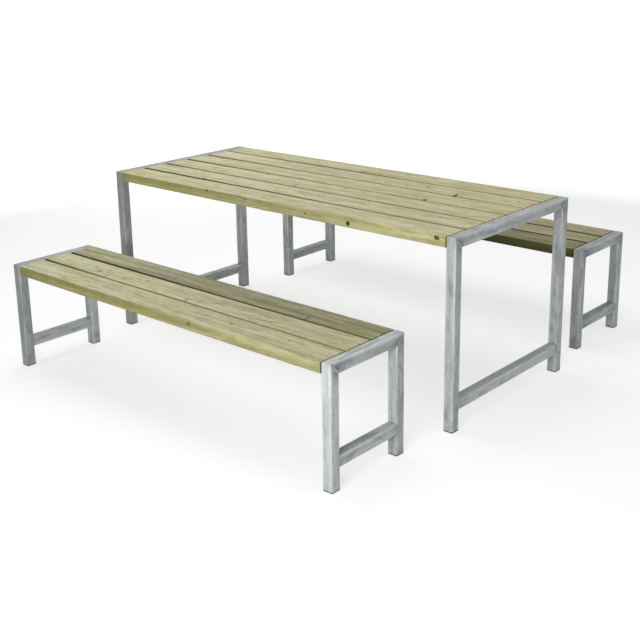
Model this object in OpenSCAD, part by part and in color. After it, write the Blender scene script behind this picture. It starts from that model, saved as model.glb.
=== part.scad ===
// Garden table with two benches: timber planks between welded end frames of square steel tube.
// Units are millimetres. X runs along the planks, Y from the front bench to the rear bench, Z up.
// The origin is on the ground, in the middle of the whole set.

/* [Table] */
// Overall length of the table, over both end frames
table_length = 1830; // [1770:5:2200]
// Height of the table top above the ground
table_height = 720; // [640:5:780]
// Number of planks in the table top
table_planks = 6; // [5:1:8]
// Gap between neighbouring table planks
table_gap = 10; // [4:1:16]

/* [Benches] */
// Overall length of a bench, over both end frames
bench_length = 1720; // [1200:5:1730]
// Height of the seat above the ground
bench_height = 440; // [380:5:480]
// Number of planks in a seat
bench_planks = 3; // [2:1:4]
// Gap between neighbouring seat planks
bench_gap = 8; // [4:1:16]

/* [Places on the ground] */
// Clear distance from the table's front edge to the front bench
front_clear = 224; // [120:2:400]
// Clear distance from the table's rear edge to the rear bench
rear_clear = 242; // [120:2:400]
// Sideways offset of the front bench towards the right end
front_bench_shift = 10; // [-12:1:12]
// Sideways offset of the rear bench towards the right end
rear_bench_shift = 0; // [-12:1:12]

/* [Planks] */
// Width of every plank
plank_width = 120; // [95:1:145]
// Thickness of every plank
plank_thickness = 40; // [37:1:45]
// Radius of the eased long edges of a plank
plank_edge_r = 3; // [1:0.5:6]
// Free play between a plank's end and the ledge behind it
plank_end_play = 1; // [0.5:0.5:4]

/* [Tube frames] */
// Outer width of the square tube
tube_size = 40; // [35:1:50]
// Wall thickness of the square tube
tube_wall = 2; // [1.5:0.5:3]
// Outer corner radius of the square tube
tube_corner_r = 4; // [3:0.5:5]
// Height of the stretcher's underside above the ground
stretcher_height = 80; // [50:5:160]

/* [Plank ledges and tie bars] */
// Leg width of the steel angle that the plank ends rest on
ledge_leg = 30; // [25:1:35]
// Thickness of the steel angle
ledge_thickness = 3; // [2:0.5:4]
// Distance of the ledge's ends from the frame's outer faces
ledge_inset = 14; // [6:1:30]
// Width of the flat bar under the middle of the planks
tie_bar_width = 40; // [30:1:60]
// Thickness of the flat bar
tie_bar_thickness = 5; // [3:1:6]
// Distance of the flat bar's ends from the outer plank edges
tie_bar_inset = 14; // [6:1:30]

/* [Screws] */
// Shank diameter of the plank screws
screw_d = 6; // [5:0.5:7]
// Length of a plank screw below its head
screw_length = 35; // [28:1:36]
// Width across the flats of the hexagonal head
screw_head_flats = 10; // [8:1:11]
// Height of the hexagonal head
screw_head_height = 4; // [3:0.5:5]
// Diameter of the flange under the head
screw_flange_d = 14; // [12:0.5:15]
// Thickness of the flange under the head
screw_flange_height = 1.2; // [0.8:0.2:2]
// Distance between the two screws of one plank end
screw_spread = 60; // [40:2:80]
// Radial clearance of a screw in its steel hole
steel_hole_play = 0.5; // [0.3:0.1:1]
// Radial clearance of a screw in its hole in the plank
pilot_play = 0.1; // [0.05:0.05:0.2]

/* [Feet] */
// Thickness of the foot's pad under the leg
foot_pad = 4; // [3:0.5:6]
// Depth of the foot's plug inside the leg
foot_plug_depth = 16; // [12:1:25]
// Wall of the hollow plug
foot_plug_wall = 2; // [1.5:0.5:3]
// Play between the plug and the inside of the tube
foot_plug_play = 0.4; // [0.3:0.1:0.6]
// Height of each of the two lips that grip the tube
foot_lip_height = 1.5; // [1:0.5:2]

/* [Weld beads] */
// Height of a bead above the tube's face
bead_height = 1.2; // [0.8:0.1:1.5]
// Width of a bead beyond the tube's rounded corner
bead_landing = 1; // [0.5:0.5:2]
// Leg of the fillet beads in the inner corners
fillet_leg = 4; // [3:0.5:5]

/* [Hidden] */
$fn = 48;
wood = [0.76, 0.74, 0.60];
steel = [0.70, 0.74, 0.74];
zinc = [0.62, 0.64, 0.65];
plastic = [0.16, 0.17, 0.17];

// Half of the extra depth by which the rear bench stands further out, so that the set is centred
centring = (rear_clear - front_clear) / 2;
plank_end_gap = ledge_thickness + plank_end_play;
tube_inner = tube_size - 2 * tube_wall;
tube_inner_r = tube_corner_r - tube_wall / 2;
tube_flat = tube_size - 2 * tube_corner_r;
// Distance of the ledge screws from the rail's inner face, in the middle of the free flange
ledge_screw_x = (ledge_leg + ledge_thickness) / 2;
screw_tip = screw_d;
pilot_spare = 2;
bead_half = tube_corner_r + bead_landing;
bead_r = (pow(bead_half, 2) + pow(bead_height, 2)) / (2 * bead_height);
// Larger than any piece, for the cutters
far = 4000;

// Width over all the planks of a top
function top_width(count, gap) = count * plank_width + (count - 1) * gap;

table_width = top_width(table_planks, table_gap);
bench_width = top_width(bench_planks, bench_gap);
table_y = -centring;
front_bench_y = table_y - table_width / 2 - front_clear - bench_width / 2;
rear_bench_y = table_y + table_width / 2 + rear_clear + bench_width / 2;

// Each item: name, length, height, number of planks, plank gap, place of its middle on the ground
ITEMS = [
    ["table", table_length, table_height, table_planks, table_gap, [0, table_y, 0]],
    ["front_bench", bench_length, bench_height, bench_planks, bench_gap,
        [front_bench_shift, front_bench_y, 0]],
    ["rear_bench", bench_length, bench_height, bench_planks, bench_gap,
        [rear_bench_shift, rear_bench_y, 0]],
];
// The two end frames of an item, and the two legs of a frame
SIDES = [["right", 1], ["left", -1]];
ENDS = [["front", -1], ["rear", 1]];

function name_of(item) = item[0];
function length_of(item) = item[1];
function height_of(item) = item[2];
function planks_of(item) = item[3];
function gap_of(item) = item[4];
function place_of(item) = item[5];
function width_of(item) = top_width(planks_of(item), gap_of(item));
// Height of the planks' undersides, where the ledges and the tie bar meet them
function underside_of(item) = height_of(item) - plank_thickness;
// Distance of a top rail's inner face from the item's middle
function rail_inner_of(item) = length_of(item) / 2 - tube_size;
// Middle of plank number i, counted from the front
function plank_y(item, i) =
    (i - (planks_of(item) + 1) / 2) * (plank_width + gap_of(item));

// Outline of a rectangle with round corners, centred
module rounded_rectangle(width, height, r) {
    square([width - 2 * r, height], center = true);
    square([width, height - 2 * r], center = true);
    for (x = [-1, 1], y = [-1, 1])
        translate([x * (width / 2 - r), y * (height / 2 - r)]) circle(r = r);
}

// Section of the square tube
module tube_section() {
    difference() {
        rounded_rectangle(tube_size, tube_size, tube_corner_r);
        rounded_rectangle(tube_inner, tube_inner, tube_inner_r);
    }
}

// Half space on one side of the mitre plane at a frame's corner, front or rear (end = -1 or 1)
module mitre_half_space(item, end, above) {
    translate([0, end * width_of(item) / 2, height_of(item)])
        rotate([end * 45, 0, 0])
            translate([0, 0, above ? far / 2 : -far / 2])
                cube(far, center = true);
}

// Puts a frame's pieces at one end of an item; the left frame is the right one mirrored
module at_frame(item, side) {
    translate(place_of(item))
        mirror([side < 0 ? 1 : 0, 0, 0])
            translate([length_of(item) / 2 - tube_size / 2, 0, 0])
                children();
}

// Places of one item's screws: two at each plank end, one in each plank at the tie bar.
// The children are drawn at the underside of the steel, with the thickness of that steel.
module at_ledge_screws(item) {
    for (side = SIDES, i = [1:planks_of(item)], y = [-1, 1])
        translate([
            side[1] * (rail_inner_of(item) - ledge_screw_x),
            plank_y(item, i) + y * screw_spread / 2,
            underside_of(item) - ledge_thickness
        ])
            children();
}

module at_tie_bar_screws(item) {
    for (i = [1:planks_of(item)])
        translate([0, plank_y(item, i), underside_of(item) - tie_bar_thickness])
            children();
}

// One plank with eased long edges and blind screw holes in its underside
module plank(item, i) {
    plank_length = 2 * (rail_inner_of(item) - plank_end_gap);
    color(wood)
        translate(place_of(item))
            difference() {
                translate([-plank_length / 2, plank_y(item, i), height_of(item) - plank_thickness / 2])
                    rotate([90, 0, 90])
                        linear_extrude(plank_length)
                            rounded_rectangle(plank_width, plank_thickness, plank_edge_r);
                at_ledge_screws(item) pilot_hole();
                at_tie_bar_screws(item) pilot_hole();
            }
}

// Hole for a screw, a little deeper than the screw is long
module pilot_hole() {
    cylinder(r = screw_d / 2 + pilot_play, h = screw_length + pilot_spare);
}

// Hole for a screw through a piece of steel
module steel_hole() {
    translate([0, 0, -1])
        cylinder(r = screw_d / 2 + steel_hole_play, h = ledge_thickness + tie_bar_thickness);
}

// One leg: an upright tube on its foot's pad, mitred at the top
module leg(item, side, end) {
    color(steel)
        at_frame(item, side)
            difference() {
                translate([0, end * (width_of(item) - tube_size) / 2, foot_pad])
                    linear_extrude(height_of(item) - foot_pad)
                        tube_section();
                mitre_half_space(item, end, above = true);
            }
}

// The rail across the top of a frame, mitred at both ends
module top_rail(item, side) {
    color(steel)
        at_frame(item, side)
            difference() {
                translate([0, width_of(item) / 2, height_of(item) - tube_size / 2])
                    rotate([90, 0, 0])
                        linear_extrude(width_of(item))
                            tube_section();
                for (end = ENDS) mitre_half_space(item, end[1], above = false);
            }
}

// The low stretcher between a frame's legs
module stretcher(item, side) {
    span = width_of(item) - 2 * tube_size;
    color(steel)
        at_frame(item, side)
            translate([0, span / 2, stretcher_height + tube_size / 2])
                rotate([90, 0, 0])
                    linear_extrude(span)
                        tube_section();
}

// Steel angle along the inner face of a top rail, with its flange under the plank ends
module plank_ledge(item, side) {
    ledge_length = width_of(item) - 2 * ledge_inset;
    color(zinc)
        difference() {
            at_frame(item, side)
                translate([-tube_size / 2, ledge_length / 2, underside_of(item) - ledge_thickness])
                    rotate([90, 0, 0])
                        linear_extrude(ledge_length)
                            mirror([1, 0]) {
                                square([ledge_leg, ledge_thickness]);
                                square([ledge_thickness, ledge_leg]);
                            }
            translate(place_of(item))
                at_ledge_screws(item) steel_hole();
        }
}

// Flat bar across the undersides of the planks, at their middle
module tie_bar(item) {
    color(zinc)
        translate(place_of(item))
            difference() {
                translate([
                    -tie_bar_width / 2,
                    tie_bar_inset - width_of(item) / 2,
                    underside_of(item) - tie_bar_thickness
                ])
                    cube([tie_bar_width, width_of(item) - 2 * tie_bar_inset, tie_bar_thickness]);
                at_tie_bar_screws(item) steel_hole();
            }
}

// One plastic foot: a pad under the leg and a hollow plug with two lips inside it
module foot() {
    plug = tube_inner - 2 * foot_plug_play;
    linear_extrude(foot_pad) rounded_rectangle(tube_size, tube_size, tube_corner_r);
    difference() {
        translate([0, 0, foot_pad]) {
            linear_extrude(foot_plug_depth) rounded_rectangle(plug, plug, tube_inner_r);
            for (lip = [1, 2])
                translate([0, 0, lip * foot_plug_depth / 3])
                    linear_extrude(foot_lip_height)
                        rounded_rectangle(tube_inner, tube_inner, tube_inner_r + foot_plug_play);
        }
        translate([0, 0, foot_pad])
            linear_extrude(foot_plug_depth + 1)
                rounded_rectangle(plug - 2 * foot_plug_wall, plug - 2 * foot_plug_wall, tube_inner_r);
    }
}

// The four feet of an item
module feet(item) {
    color(plastic)
        for (side = SIDES, end = ENDS)
            at_frame(item, side[1])
                translate([0, end[1] * (width_of(item) - tube_size) / 2, 0])
                    foot();
}

// One screw, pointing up, with its head below the origin
module screw() {
    cylinder(d = screw_d, h = screw_length - screw_tip);
    translate([0, 0, screw_length - screw_tip]) cylinder(d1 = screw_d, d2 = 1, h = screw_tip);
    translate([0, 0, -screw_flange_height]) cylinder(d = screw_flange_d, h = screw_flange_height);
    translate([0, 0, -screw_flange_height - screw_head_height])
        cylinder(d = screw_head_flats / cos(30), h = screw_head_height, $fn = 6);
}

// All the screws of an item
module screws(item) {
    color(zinc)
        translate(place_of(item)) {
            at_ledge_screws(item) screw();
            at_tie_bar_screws(item) screw();
        }
}

// Section of a bead's crown on a flat face, with the face at x = 0
module bead_crown() {
    intersection() {
        translate([bead_height - bead_r, 0]) circle(r = bead_r);
        translate([0, -bead_half]) square(2 * bead_half);
    }
}

// Bead along a mitre, on the frame's outer face
module mitre_bead(item, end) {
    middle = tube_size / 2;
    translate([
        tube_size / 2,
        end * (width_of(item) / 2 - middle),
        height_of(item) - middle
    ])
        rotate([end * -45, 0, 0])
            linear_extrude(tube_flat * sqrt(2), center = true)
                bead_crown();
}

// Fillet bead along X in the corner of a leg's inner face and a face of a crosspiece.
// The crosspiece lies above the bead (up = 1) or below it (up = -1), with that face at height z.
module fillet_bead(item, end, z, up) {
    translate([0, end * (width_of(item) / 2 - tube_size), z])
        rotate([90, 0, 90])
            linear_extrude(tube_flat, center = true)
                intersection() {
                    circle(r = fillet_leg);
                    translate([end > 0 ? -fillet_leg : 0, up > 0 ? -fillet_leg : 0])
                        square(fillet_leg);
                }
}

// Upright bead where a stretcher's outer face meets a leg: it fills the groove at the leg's
// rounded corner and stands proud of both faces
module seam_bead(item, end) {
    translate([0, end * (width_of(item) / 2 - tube_size), stretcher_height + tube_size / 2])
        mirror([0, end > 0 ? 1 : 0, 0])
            linear_extrude(tube_flat, center = true) {
                translate([tube_size / 2, 0]) bead_crown();
                difference() {
                    translate([tube_size / 2 - tube_corner_r, -tube_corner_r]) square(tube_corner_r);
                    translate([tube_size / 2 - tube_corner_r, -tube_corner_r]) circle(r = tube_corner_r);
                }
            }
}

// All the weld beads of an item
module weld_beads(item) {
    color(steel)
        for (side = SIDES, end = ENDS)
            at_frame(item, side[1]) {
                mitre_bead(item, end[1]);
                seam_bead(item, end[1]);
                fillet_bead(item, end[1], height_of(item) - tube_size, 1);
                fillet_bead(item, end[1], stretcher_height, 1);
                fillet_bead(item, end[1], stretcher_height + tube_size, -1);
            }
}

for (item = ITEMS) {
    name = name_of(item);
    for (i = [1:planks_of(item)])
        plank(item, i);
    for (side = SIDES, end = ENDS)
        leg(item, side[1], end[1]);
    for (side = SIDES) {
        top_rail(item, side[1]);
        stretcher(item, side[1]);
        plank_ledge(item, side[1]);
    }
    tie_bar(item);
    feet(item);
    screws(item);
    weld_beads(item);
}
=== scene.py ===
"""Looks of a garden table with two benches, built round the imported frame.

Treated pine planks lie between welded end frames of galvanised square tube. Every size comes from the
frame's boxes or from the named fields below, in metres, with +Z up and the front bench towards -Y.
"""

import logging
import math
import sys
from abc import ABC, abstractmethod
from collections.abc import Iterable, Sequence
from dataclasses import dataclass, field
from enum import Enum

import bpy
import numpy as np
from mathutils import Matrix, Vector

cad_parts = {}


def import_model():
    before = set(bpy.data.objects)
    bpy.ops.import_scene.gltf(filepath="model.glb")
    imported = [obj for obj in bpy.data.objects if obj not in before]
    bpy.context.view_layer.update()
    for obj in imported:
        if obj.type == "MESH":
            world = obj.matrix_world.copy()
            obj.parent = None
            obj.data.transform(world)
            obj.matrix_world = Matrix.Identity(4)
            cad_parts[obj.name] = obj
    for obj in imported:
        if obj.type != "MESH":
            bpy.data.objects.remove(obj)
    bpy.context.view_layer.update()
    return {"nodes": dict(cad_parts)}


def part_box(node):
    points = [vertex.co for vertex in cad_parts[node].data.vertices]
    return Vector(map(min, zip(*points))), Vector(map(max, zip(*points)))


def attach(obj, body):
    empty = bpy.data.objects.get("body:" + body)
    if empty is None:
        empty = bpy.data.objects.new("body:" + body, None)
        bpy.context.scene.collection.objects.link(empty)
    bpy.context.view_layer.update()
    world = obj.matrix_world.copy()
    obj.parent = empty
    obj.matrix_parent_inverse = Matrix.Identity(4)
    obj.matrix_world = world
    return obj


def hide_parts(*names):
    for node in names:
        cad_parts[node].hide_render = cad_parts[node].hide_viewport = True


log = logging.getLogger("garden_set")

MM = 0.001

Colour = tuple[int, int, int]
Node = bpy.types.Node
Socket = bpy.types.NodeSocket


# Closed surfaces

class Ends(Enum):
    """How a run of rings is closed."""

    POLES = "each end runs to a point in its middle"
    LOOP = "the last ring joins the first"


@dataclass
class Skin:
    """A closed surface, given as a run of closed rings of points.

    Attributes:
        rings: Points, as an array of run x around x 3.
        ends: How the run is closed.
        marks: Values that the finish reads, each an array of run x around x 3.
    """

    rings: np.ndarray
    ends: Ends = Ends.POLES
    marks: dict[str, np.ndarray] = field(default_factory=dict)

    def moved(self, place: Sequence[float]) -> "Skin":
        """The same skin at another place."""
        return Skin(self.rings + np.asarray(place), self.ends, self.marks)

    def faces(self) -> tuple[np.ndarray, np.ndarray]:
        """Numbers the corners of the faces.

        Point (i, j) has the number i * around + j. A four-sided face joins (i, j), (i + 1, j),
        (i + 1, j + 1) and (i, j + 1). With poles, a fan of three-sided faces joins each end ring to one more
        point.

        Returns:
            The four-sided and the three-sided faces.
        """
        run, around = self.rings.shape[:2]
        steps = np.arange(run if self.ends is Ends.LOOP else run - 1)[:, None]
        here = np.arange(around)[None, :]
        there = (here + 1) % around
        first, second = steps * around, (steps + 1) % run * around
        quads = np.stack([first + here, second + here, second + there, first + there], axis=-1).reshape(-1, 4)
        if self.ends is Ends.LOOP:
            return quads, np.zeros((0, 3), int)
        last = (run - 1) * around
        pole = np.full(around, run * around)
        start = np.stack([here[0], there[0], pole], axis=-1)
        end = np.stack([last + there[0], last + here[0], pole + 1], axis=-1)
        return quads, np.concatenate([start, end])

    def flat(self, values: np.ndarray) -> np.ndarray:
        """Lists values in point order, with the mean of each end ring for its pole.

        Args:
            values: The values, as run x around x parts.

        Returns:
            The list, as points x parts.
        """
        listed = values.reshape(-1, values.shape[-1])
        if self.ends is Ends.LOOP:
            return listed
        return np.concatenate([listed, values[:1].mean(axis=1), values[-1:].mean(axis=1)])

    def outward(self) -> tuple[np.ndarray, np.ndarray, np.ndarray]:
        """Points and faces with every face turned outwards.

        The volume is the sum of the scalar triple products of the faces' corners. Where it is negative,
        each face's corners are taken in the other order.

        Returns:
            The points, the four-sided faces and the three-sided faces.
        """
        points = self.flat(self.rings)
        quads, fans = self.faces()
        halves = np.concatenate([quads[:, [0, 1, 2]], quads[:, [0, 2, 3]], fans])
        corners = (points - points.mean(axis=0))[halves]
        volume = np.einsum("ij,ij->i", corners[:, 0], np.cross(corners[:, 1], corners[:, 2])).sum()
        if volume < 0:
            quads, fans = quads[:, ::-1], fans[:, ::-1]
        return points, quads, fans


def add_object(name: str, data: bpy.types.ID) -> bpy.types.Object:
    """Puts a mesh, a camera or a lamp into the scene as an object.

    Args:
        name: The object's name.
        data: The mesh, the camera or the lamp.

    Returns:
        The object.
    """
    made = bpy.data.objects.new(name, data)
    bpy.context.scene.collection.objects.link(made)
    return made


def make_object(name: str, skins: Iterable[Skin]) -> bpy.types.Object:
    """Makes one smooth-shaded mesh object from closed skins.

    Args:
        name: Name of the object and its mesh.
        skins: The surfaces, with the same marks on each.

    Returns:
        The object, at the origin, with its place in its mesh.
    """
    skins = list(skins)
    turned = [skin.outward() for skin in skins]
    starts = np.cumsum([0] + [len(points) for points, _, _ in turned])
    points = np.concatenate([t[0] for t in turned])
    quads = np.concatenate([t[1] + at for t, at in zip(turned, starts)])
    fans = np.concatenate([t[2] + at for t, at in zip(turned, starts)])
    corners = np.concatenate([quads.ravel(), fans.ravel()]).astype(np.int32)
    loop_starts = np.concatenate([np.arange(len(quads)) * 4, len(quads) * 4 + np.arange(len(fans)) * 3])

    mesh = bpy.data.meshes.new(name)
    mesh.vertices.add(len(points))
    mesh.vertices.foreach_set("co", points.astype(np.float32).ravel())
    mesh.loops.add(len(corners))
    mesh.loops.foreach_set("vertex_index", corners)
    mesh.polygons.add(len(loop_starts))
    mesh.polygons.foreach_set("loop_start", loop_starts.astype(np.int32))
    mesh.polygons.foreach_set("use_smooth", np.ones(len(loop_starts), bool))
    mesh.update(calc_edges=True)
    for mark in skins[0].marks:
        values = np.concatenate([skin.flat(skin.marks[mark]) for skin in skins])
        attribute = mesh.attributes.new(mark, "FLOAT_VECTOR", "POINT")
        attribute.data.foreach_set("vector", values.astype(np.float32).ravel())
    return add_object(name, mesh)


def dress(made: bpy.types.Object, body: str, slot: str, material: bpy.types.Material, *nodes: str) -> None:
    """Gives a piece its finish and its body, and hides the CAD nodes that it stands for.

    Args:
        made: The finished piece.
        body: The CAD body that it moves with.
        slot: The record's material slot. Not used.
        material: Its finish.
        nodes: The CAD nodes that it stands for.
    """
    made.data.materials.append(material)
    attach(made, body)
    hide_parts(*nodes)
    log.info("%s: %d points, rides on %s", made.name, len(made.data.vertices), body)


@dataclass(frozen=True)
class Outline:
    """A rectangle with round corners, drawn once for any size.

    A point is the middle of its corner's arc plus the radius along the outward direction. Round the
    rectangle the four faces run anticlockwise from the right one, and the arcs lie between them.

    Attributes:
        middles: Arc middles, with the corners at -1 and 1, as an array of around x 2.
        outward: Outward directions, as an array of around x 2.
        corner: 1 on an arc and 0 on a face.
    """

    middles: np.ndarray
    outward: np.ndarray
    corner: np.ndarray

    @classmethod
    def drawn(cls, faces: Sequence[np.ndarray], arc: int) -> "Outline":
        """Draws the outline.

        Args:
            faces: For the right, top, left and bottom face, where its points lie, from 0 to 1 along the face.
            arc: Number of steps round a corner.

        Returns:
            The outline.
        """
        corners = np.array([[1, -1], [1, 1], [-1, 1], [-1, -1], [1, -1]], float)
        middles, outward, corner = [], [], []
        for side, along in enumerate(faces):
            start, end = corners[side], corners[side + 1]
            turn = math.pi / 2 * (side + np.arange(1, arc) / arc)
            level = np.full(len(along), math.pi / 2 * side)
            middles += [start + (end - start) * along[:, None], np.repeat(end[None], arc - 1, axis=0)]
            outward += [np.stack([np.cos(a), np.sin(a)], axis=-1) for a in (level, turn)]
            corner += [np.zeros(len(along)), np.ones(arc - 1)]
        return cls(np.concatenate(middles), np.concatenate(outward), np.concatenate(corner))

    def at(self, half: Sequence[float] | np.ndarray, radius: float | np.ndarray) -> np.ndarray:
        """The outline's points for half sizes (..., 2) and a corner radius (..., 1)."""
        return (np.asarray(half) - radius) * self.middles + radius * self.outward


def ripple(rng: np.random.Generator, position: np.ndarray, lengths: Sequence[float]) -> np.ndarray:
    """A smooth wander from -1 to 1: the mean of sine waves of given lengths, each with a random start."""
    starts = rng.uniform(0, 2 * math.pi, len(lengths))
    return np.sin(2 * math.pi * position[..., None] / np.asarray(lengths) + starts).mean(axis=-1)


def smooth_step(value: np.ndarray, low: float, high: float) -> np.ndarray:
    """0 below low, 1 above high, and an S-shaped curve between."""
    share = np.clip((value - low) / (high - low), 0, 1)
    return share * share * (3 - 2 * share)


# Wiring of materials

def linear(colour: Colour) -> tuple[float, float, float, float]:
    """A display colour as linear light, by the sRGB curve.

    Args:
        colour: The colour, from 0 to 255.

    Returns:
        The light, from 0 to 1, and wholly opaque.
    """
    share = np.asarray(colour) / 255
    light = np.where(share <= 0.04045, share / 12.92, ((share + 0.055) / 1.055) ** 2.4)
    return (*map(float, light), 1.0)


def emptied(owner: bpy.types.Material | bpy.types.World) -> bpy.types.NodeTree:
    """Clears the node tree of a material or the surround.

    Args:
        owner: The material or the surround.

    Returns:
        The tree, with nothing in it.
    """
    owner.use_nodes = True
    owner.node_tree.nodes.clear()
    return owner.node_tree


class Wiring:
    """Adds nodes to a tree and joins them. A value may be a number, a vector or another node's socket."""

    def __init__(self, tree: bpy.types.NodeTree) -> None:
        """Starts with a node tree."""
        self.tree = tree

    def put(self, socket: Socket, value: object) -> None:
        """Joins an input to another node's socket, or sets its value.

        Args:
            socket: The input.
            value: The other socket, or the value.
        """
        if isinstance(value, bpy.types.NodeSocket):
            self.tree.links.new(value, socket)
        else:
            socket.default_value = value

    def fill(self, node: Node, *values: object, **named: object) -> Node:
        """Fills the inputs of a node.

        Args:
            node: The node.
            values: For its first inputs, in their order.
            named: For its inputs by name, with _ for a space.

        Returns:
            The node.
        """
        for socket, value in zip(node.inputs, values):
            self.put(socket, value)
        for name, value in named.items():
            self.put(node.inputs[name.replace("_", " ")], value)
        return node

    def add(
        self, kind: str, *values: object, settings: dict[str, object] | None = None, **named: object
    ) -> Node:
        """Adds a node.

        Args:
            kind: The node's type.
            values: For its first inputs, in their order.
            settings: Its own properties.
            named: For its inputs by name, with _ for a space.

        Returns:
            The node.
        """
        node = self.tree.nodes.new(kind)
        for name, value in (settings or {}).items():
            setattr(node, name, value)
        return self.fill(node, *values, **named)

    def math(self, operation: str, *values: object, clamp: bool = False) -> Socket:
        """A Math node's result."""
        settings = {"operation": operation, "use_clamp": clamp}
        return self.add("ShaderNodeMath", *values, settings=settings).outputs[0]

    def times(self, product: object, *factors: object) -> Socket:
        """Multiplies values.

        Args:
            product: The first value.
            factors: The others.

        Returns:
            Their product.
        """
        for factor in factors:
            product = self.math("MULTIPLY", product, factor)
        return product

    def vector(self, operation: str, *values: object) -> Socket:
        """A Vector Math node's vector."""
        return self.add("ShaderNodeVectorMath", *values, settings={"operation": operation}).outputs[0]

    def joined(self, x: object, y: object, z: object) -> Socket:
        """A vector of three parts."""
        return self.add("ShaderNodeCombineXYZ", x, y, z).outputs[0]

    def split(self, vector: object) -> list[Socket]:
        """The three parts of a vector."""
        return list(self.add("ShaderNodeSeparateXYZ", vector).outputs)

    def scaled(self, vector: object, x: object, y: object, z: object) -> Socket:
        """A vector with each of its parts multiplied."""
        return self.vector("MULTIPLY", vector, self.joined(x, y, z))

    def mix(self, share: object, first: object, second: object, blend: str = "MIX") -> Socket:
        """Mixes two colours, which are the node's inputs 6 and 7.

        Args:
            share: The second colour's share.
            first: The first colour.
            second: The second colour.
            blend: How the second colour is laid over the first.

        Returns:
            The mix.
        """
        node = self.add("ShaderNodeMix", share, settings={"data_type": "RGBA", "blend_type": blend})
        self.put(node.inputs[6], first)
        self.put(node.inputs[7], second)
        return node.outputs[2]

    def covered(self, colour: object, *layers: tuple[object, Colour]) -> Socket:
        """Lays display colours over a colour in turn.

        Args:
            colour: The colour below.
            layers: For each layer, the share that it covers and its display colour.

        Returns:
            The colour with its layers.
        """
        for share, over in layers:
            colour = self.mix(share, colour, linear(over))
        return colour

    def noise(
        self, vector: object, scale: object, detail: float = 2.0, roughness: float = 0.5, bend: float = 0.0
    ) -> Socket:
        """A noise texture's value."""
        node = self.add("ShaderNodeTexNoise", Vector=vector, Scale=scale, Detail=detail)
        return self.fill(node, Roughness=roughness, Distortion=bend).outputs[0]

    def spread(self, value: object, low: object, high: object, *to: object) -> Socket:
        """A value carried from one range to another, or to 0 and 1, with soft ends."""
        settings = {"interpolation_type": "SMOOTHSTEP"}
        return self.add("ShaderNodeMapRange", value, low, high, *to, settings=settings).outputs[0]

    def between(self, share: object, low: object, high: object) -> Socket:
        """A value that goes softly from low to high as a share goes from 0 to 1."""
        return self.spread(share, 0.0, 1.0, low, high)

    def ramp(self, value: object, stops: Sequence[tuple[float, float]]) -> Socket:
        """Reads a value off a curve.

        Args:
            value: The place on the curve, from 0 to 1.
            stops: The curve's points, each a place and a height.

        Returns:
            The height there.
        """
        node = self.add("ShaderNodeValToRGB", value)
        elements = node.color_ramp.elements
        while len(elements) < len(stops):
            elements.new(0.5)
        for element, (place, height) in zip(elements, stops):
            element.position = place
            element.color = (height, height, height, 1.0)
        return node.outputs[0]

    def mark(self, attribute: str) -> Socket:
        """One of the piece's own marks as a vector."""
        return self.add("ShaderNodeAttribute", settings={"attribute_name": attribute}).outputs["Vector"]

    def place(self) -> Socket:
        """The piece's own Object coordinates."""
        return self.add("ShaderNodeTexCoord").outputs["Object"]

    def bump(self, strength: float, distance: float, height: Socket) -> Socket:
        """A normal bent by a height, where a height of 1 stands for a distance."""
        return self.add("ShaderNodeBump", Strength=strength, Distance=distance, Height=height).outputs[0]


# Shared effects

def new_effect(name: str, numbers: Sequence[str], masks: Sequence[str]) -> tuple[Wiring, list[Socket], Node]:
    """Starts a shared effect, which reads a vector and numbers and puts out masks from 0 to 1.

    Args:
        name: The effect's name.
        numbers: The names of its numbers.
        masks: The names of its masks.

    Returns:
        The wiring, the sockets of the vector and the numbers, and the node that takes the masks.
    """
    tree = bpy.data.node_groups.new(name, "ShaderNodeTree")
    tree.interface.new_socket(name="Vector", in_out="INPUT", socket_type="NodeSocketVector")
    for names, way in ((numbers, "INPUT"), (masks, "OUTPUT")):
        for socket_name in names:
            tree.interface.new_socket(name=socket_name, in_out=way, socket_type="NodeSocketFloat")
    wiring = Wiring(tree)
    given, out = wiring.add("NodeGroupInput"), wiring.add("NodeGroupOutput")
    return wiring, [given.outputs[socket_name] for socket_name in ("Vector", *numbers)], out


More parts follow.
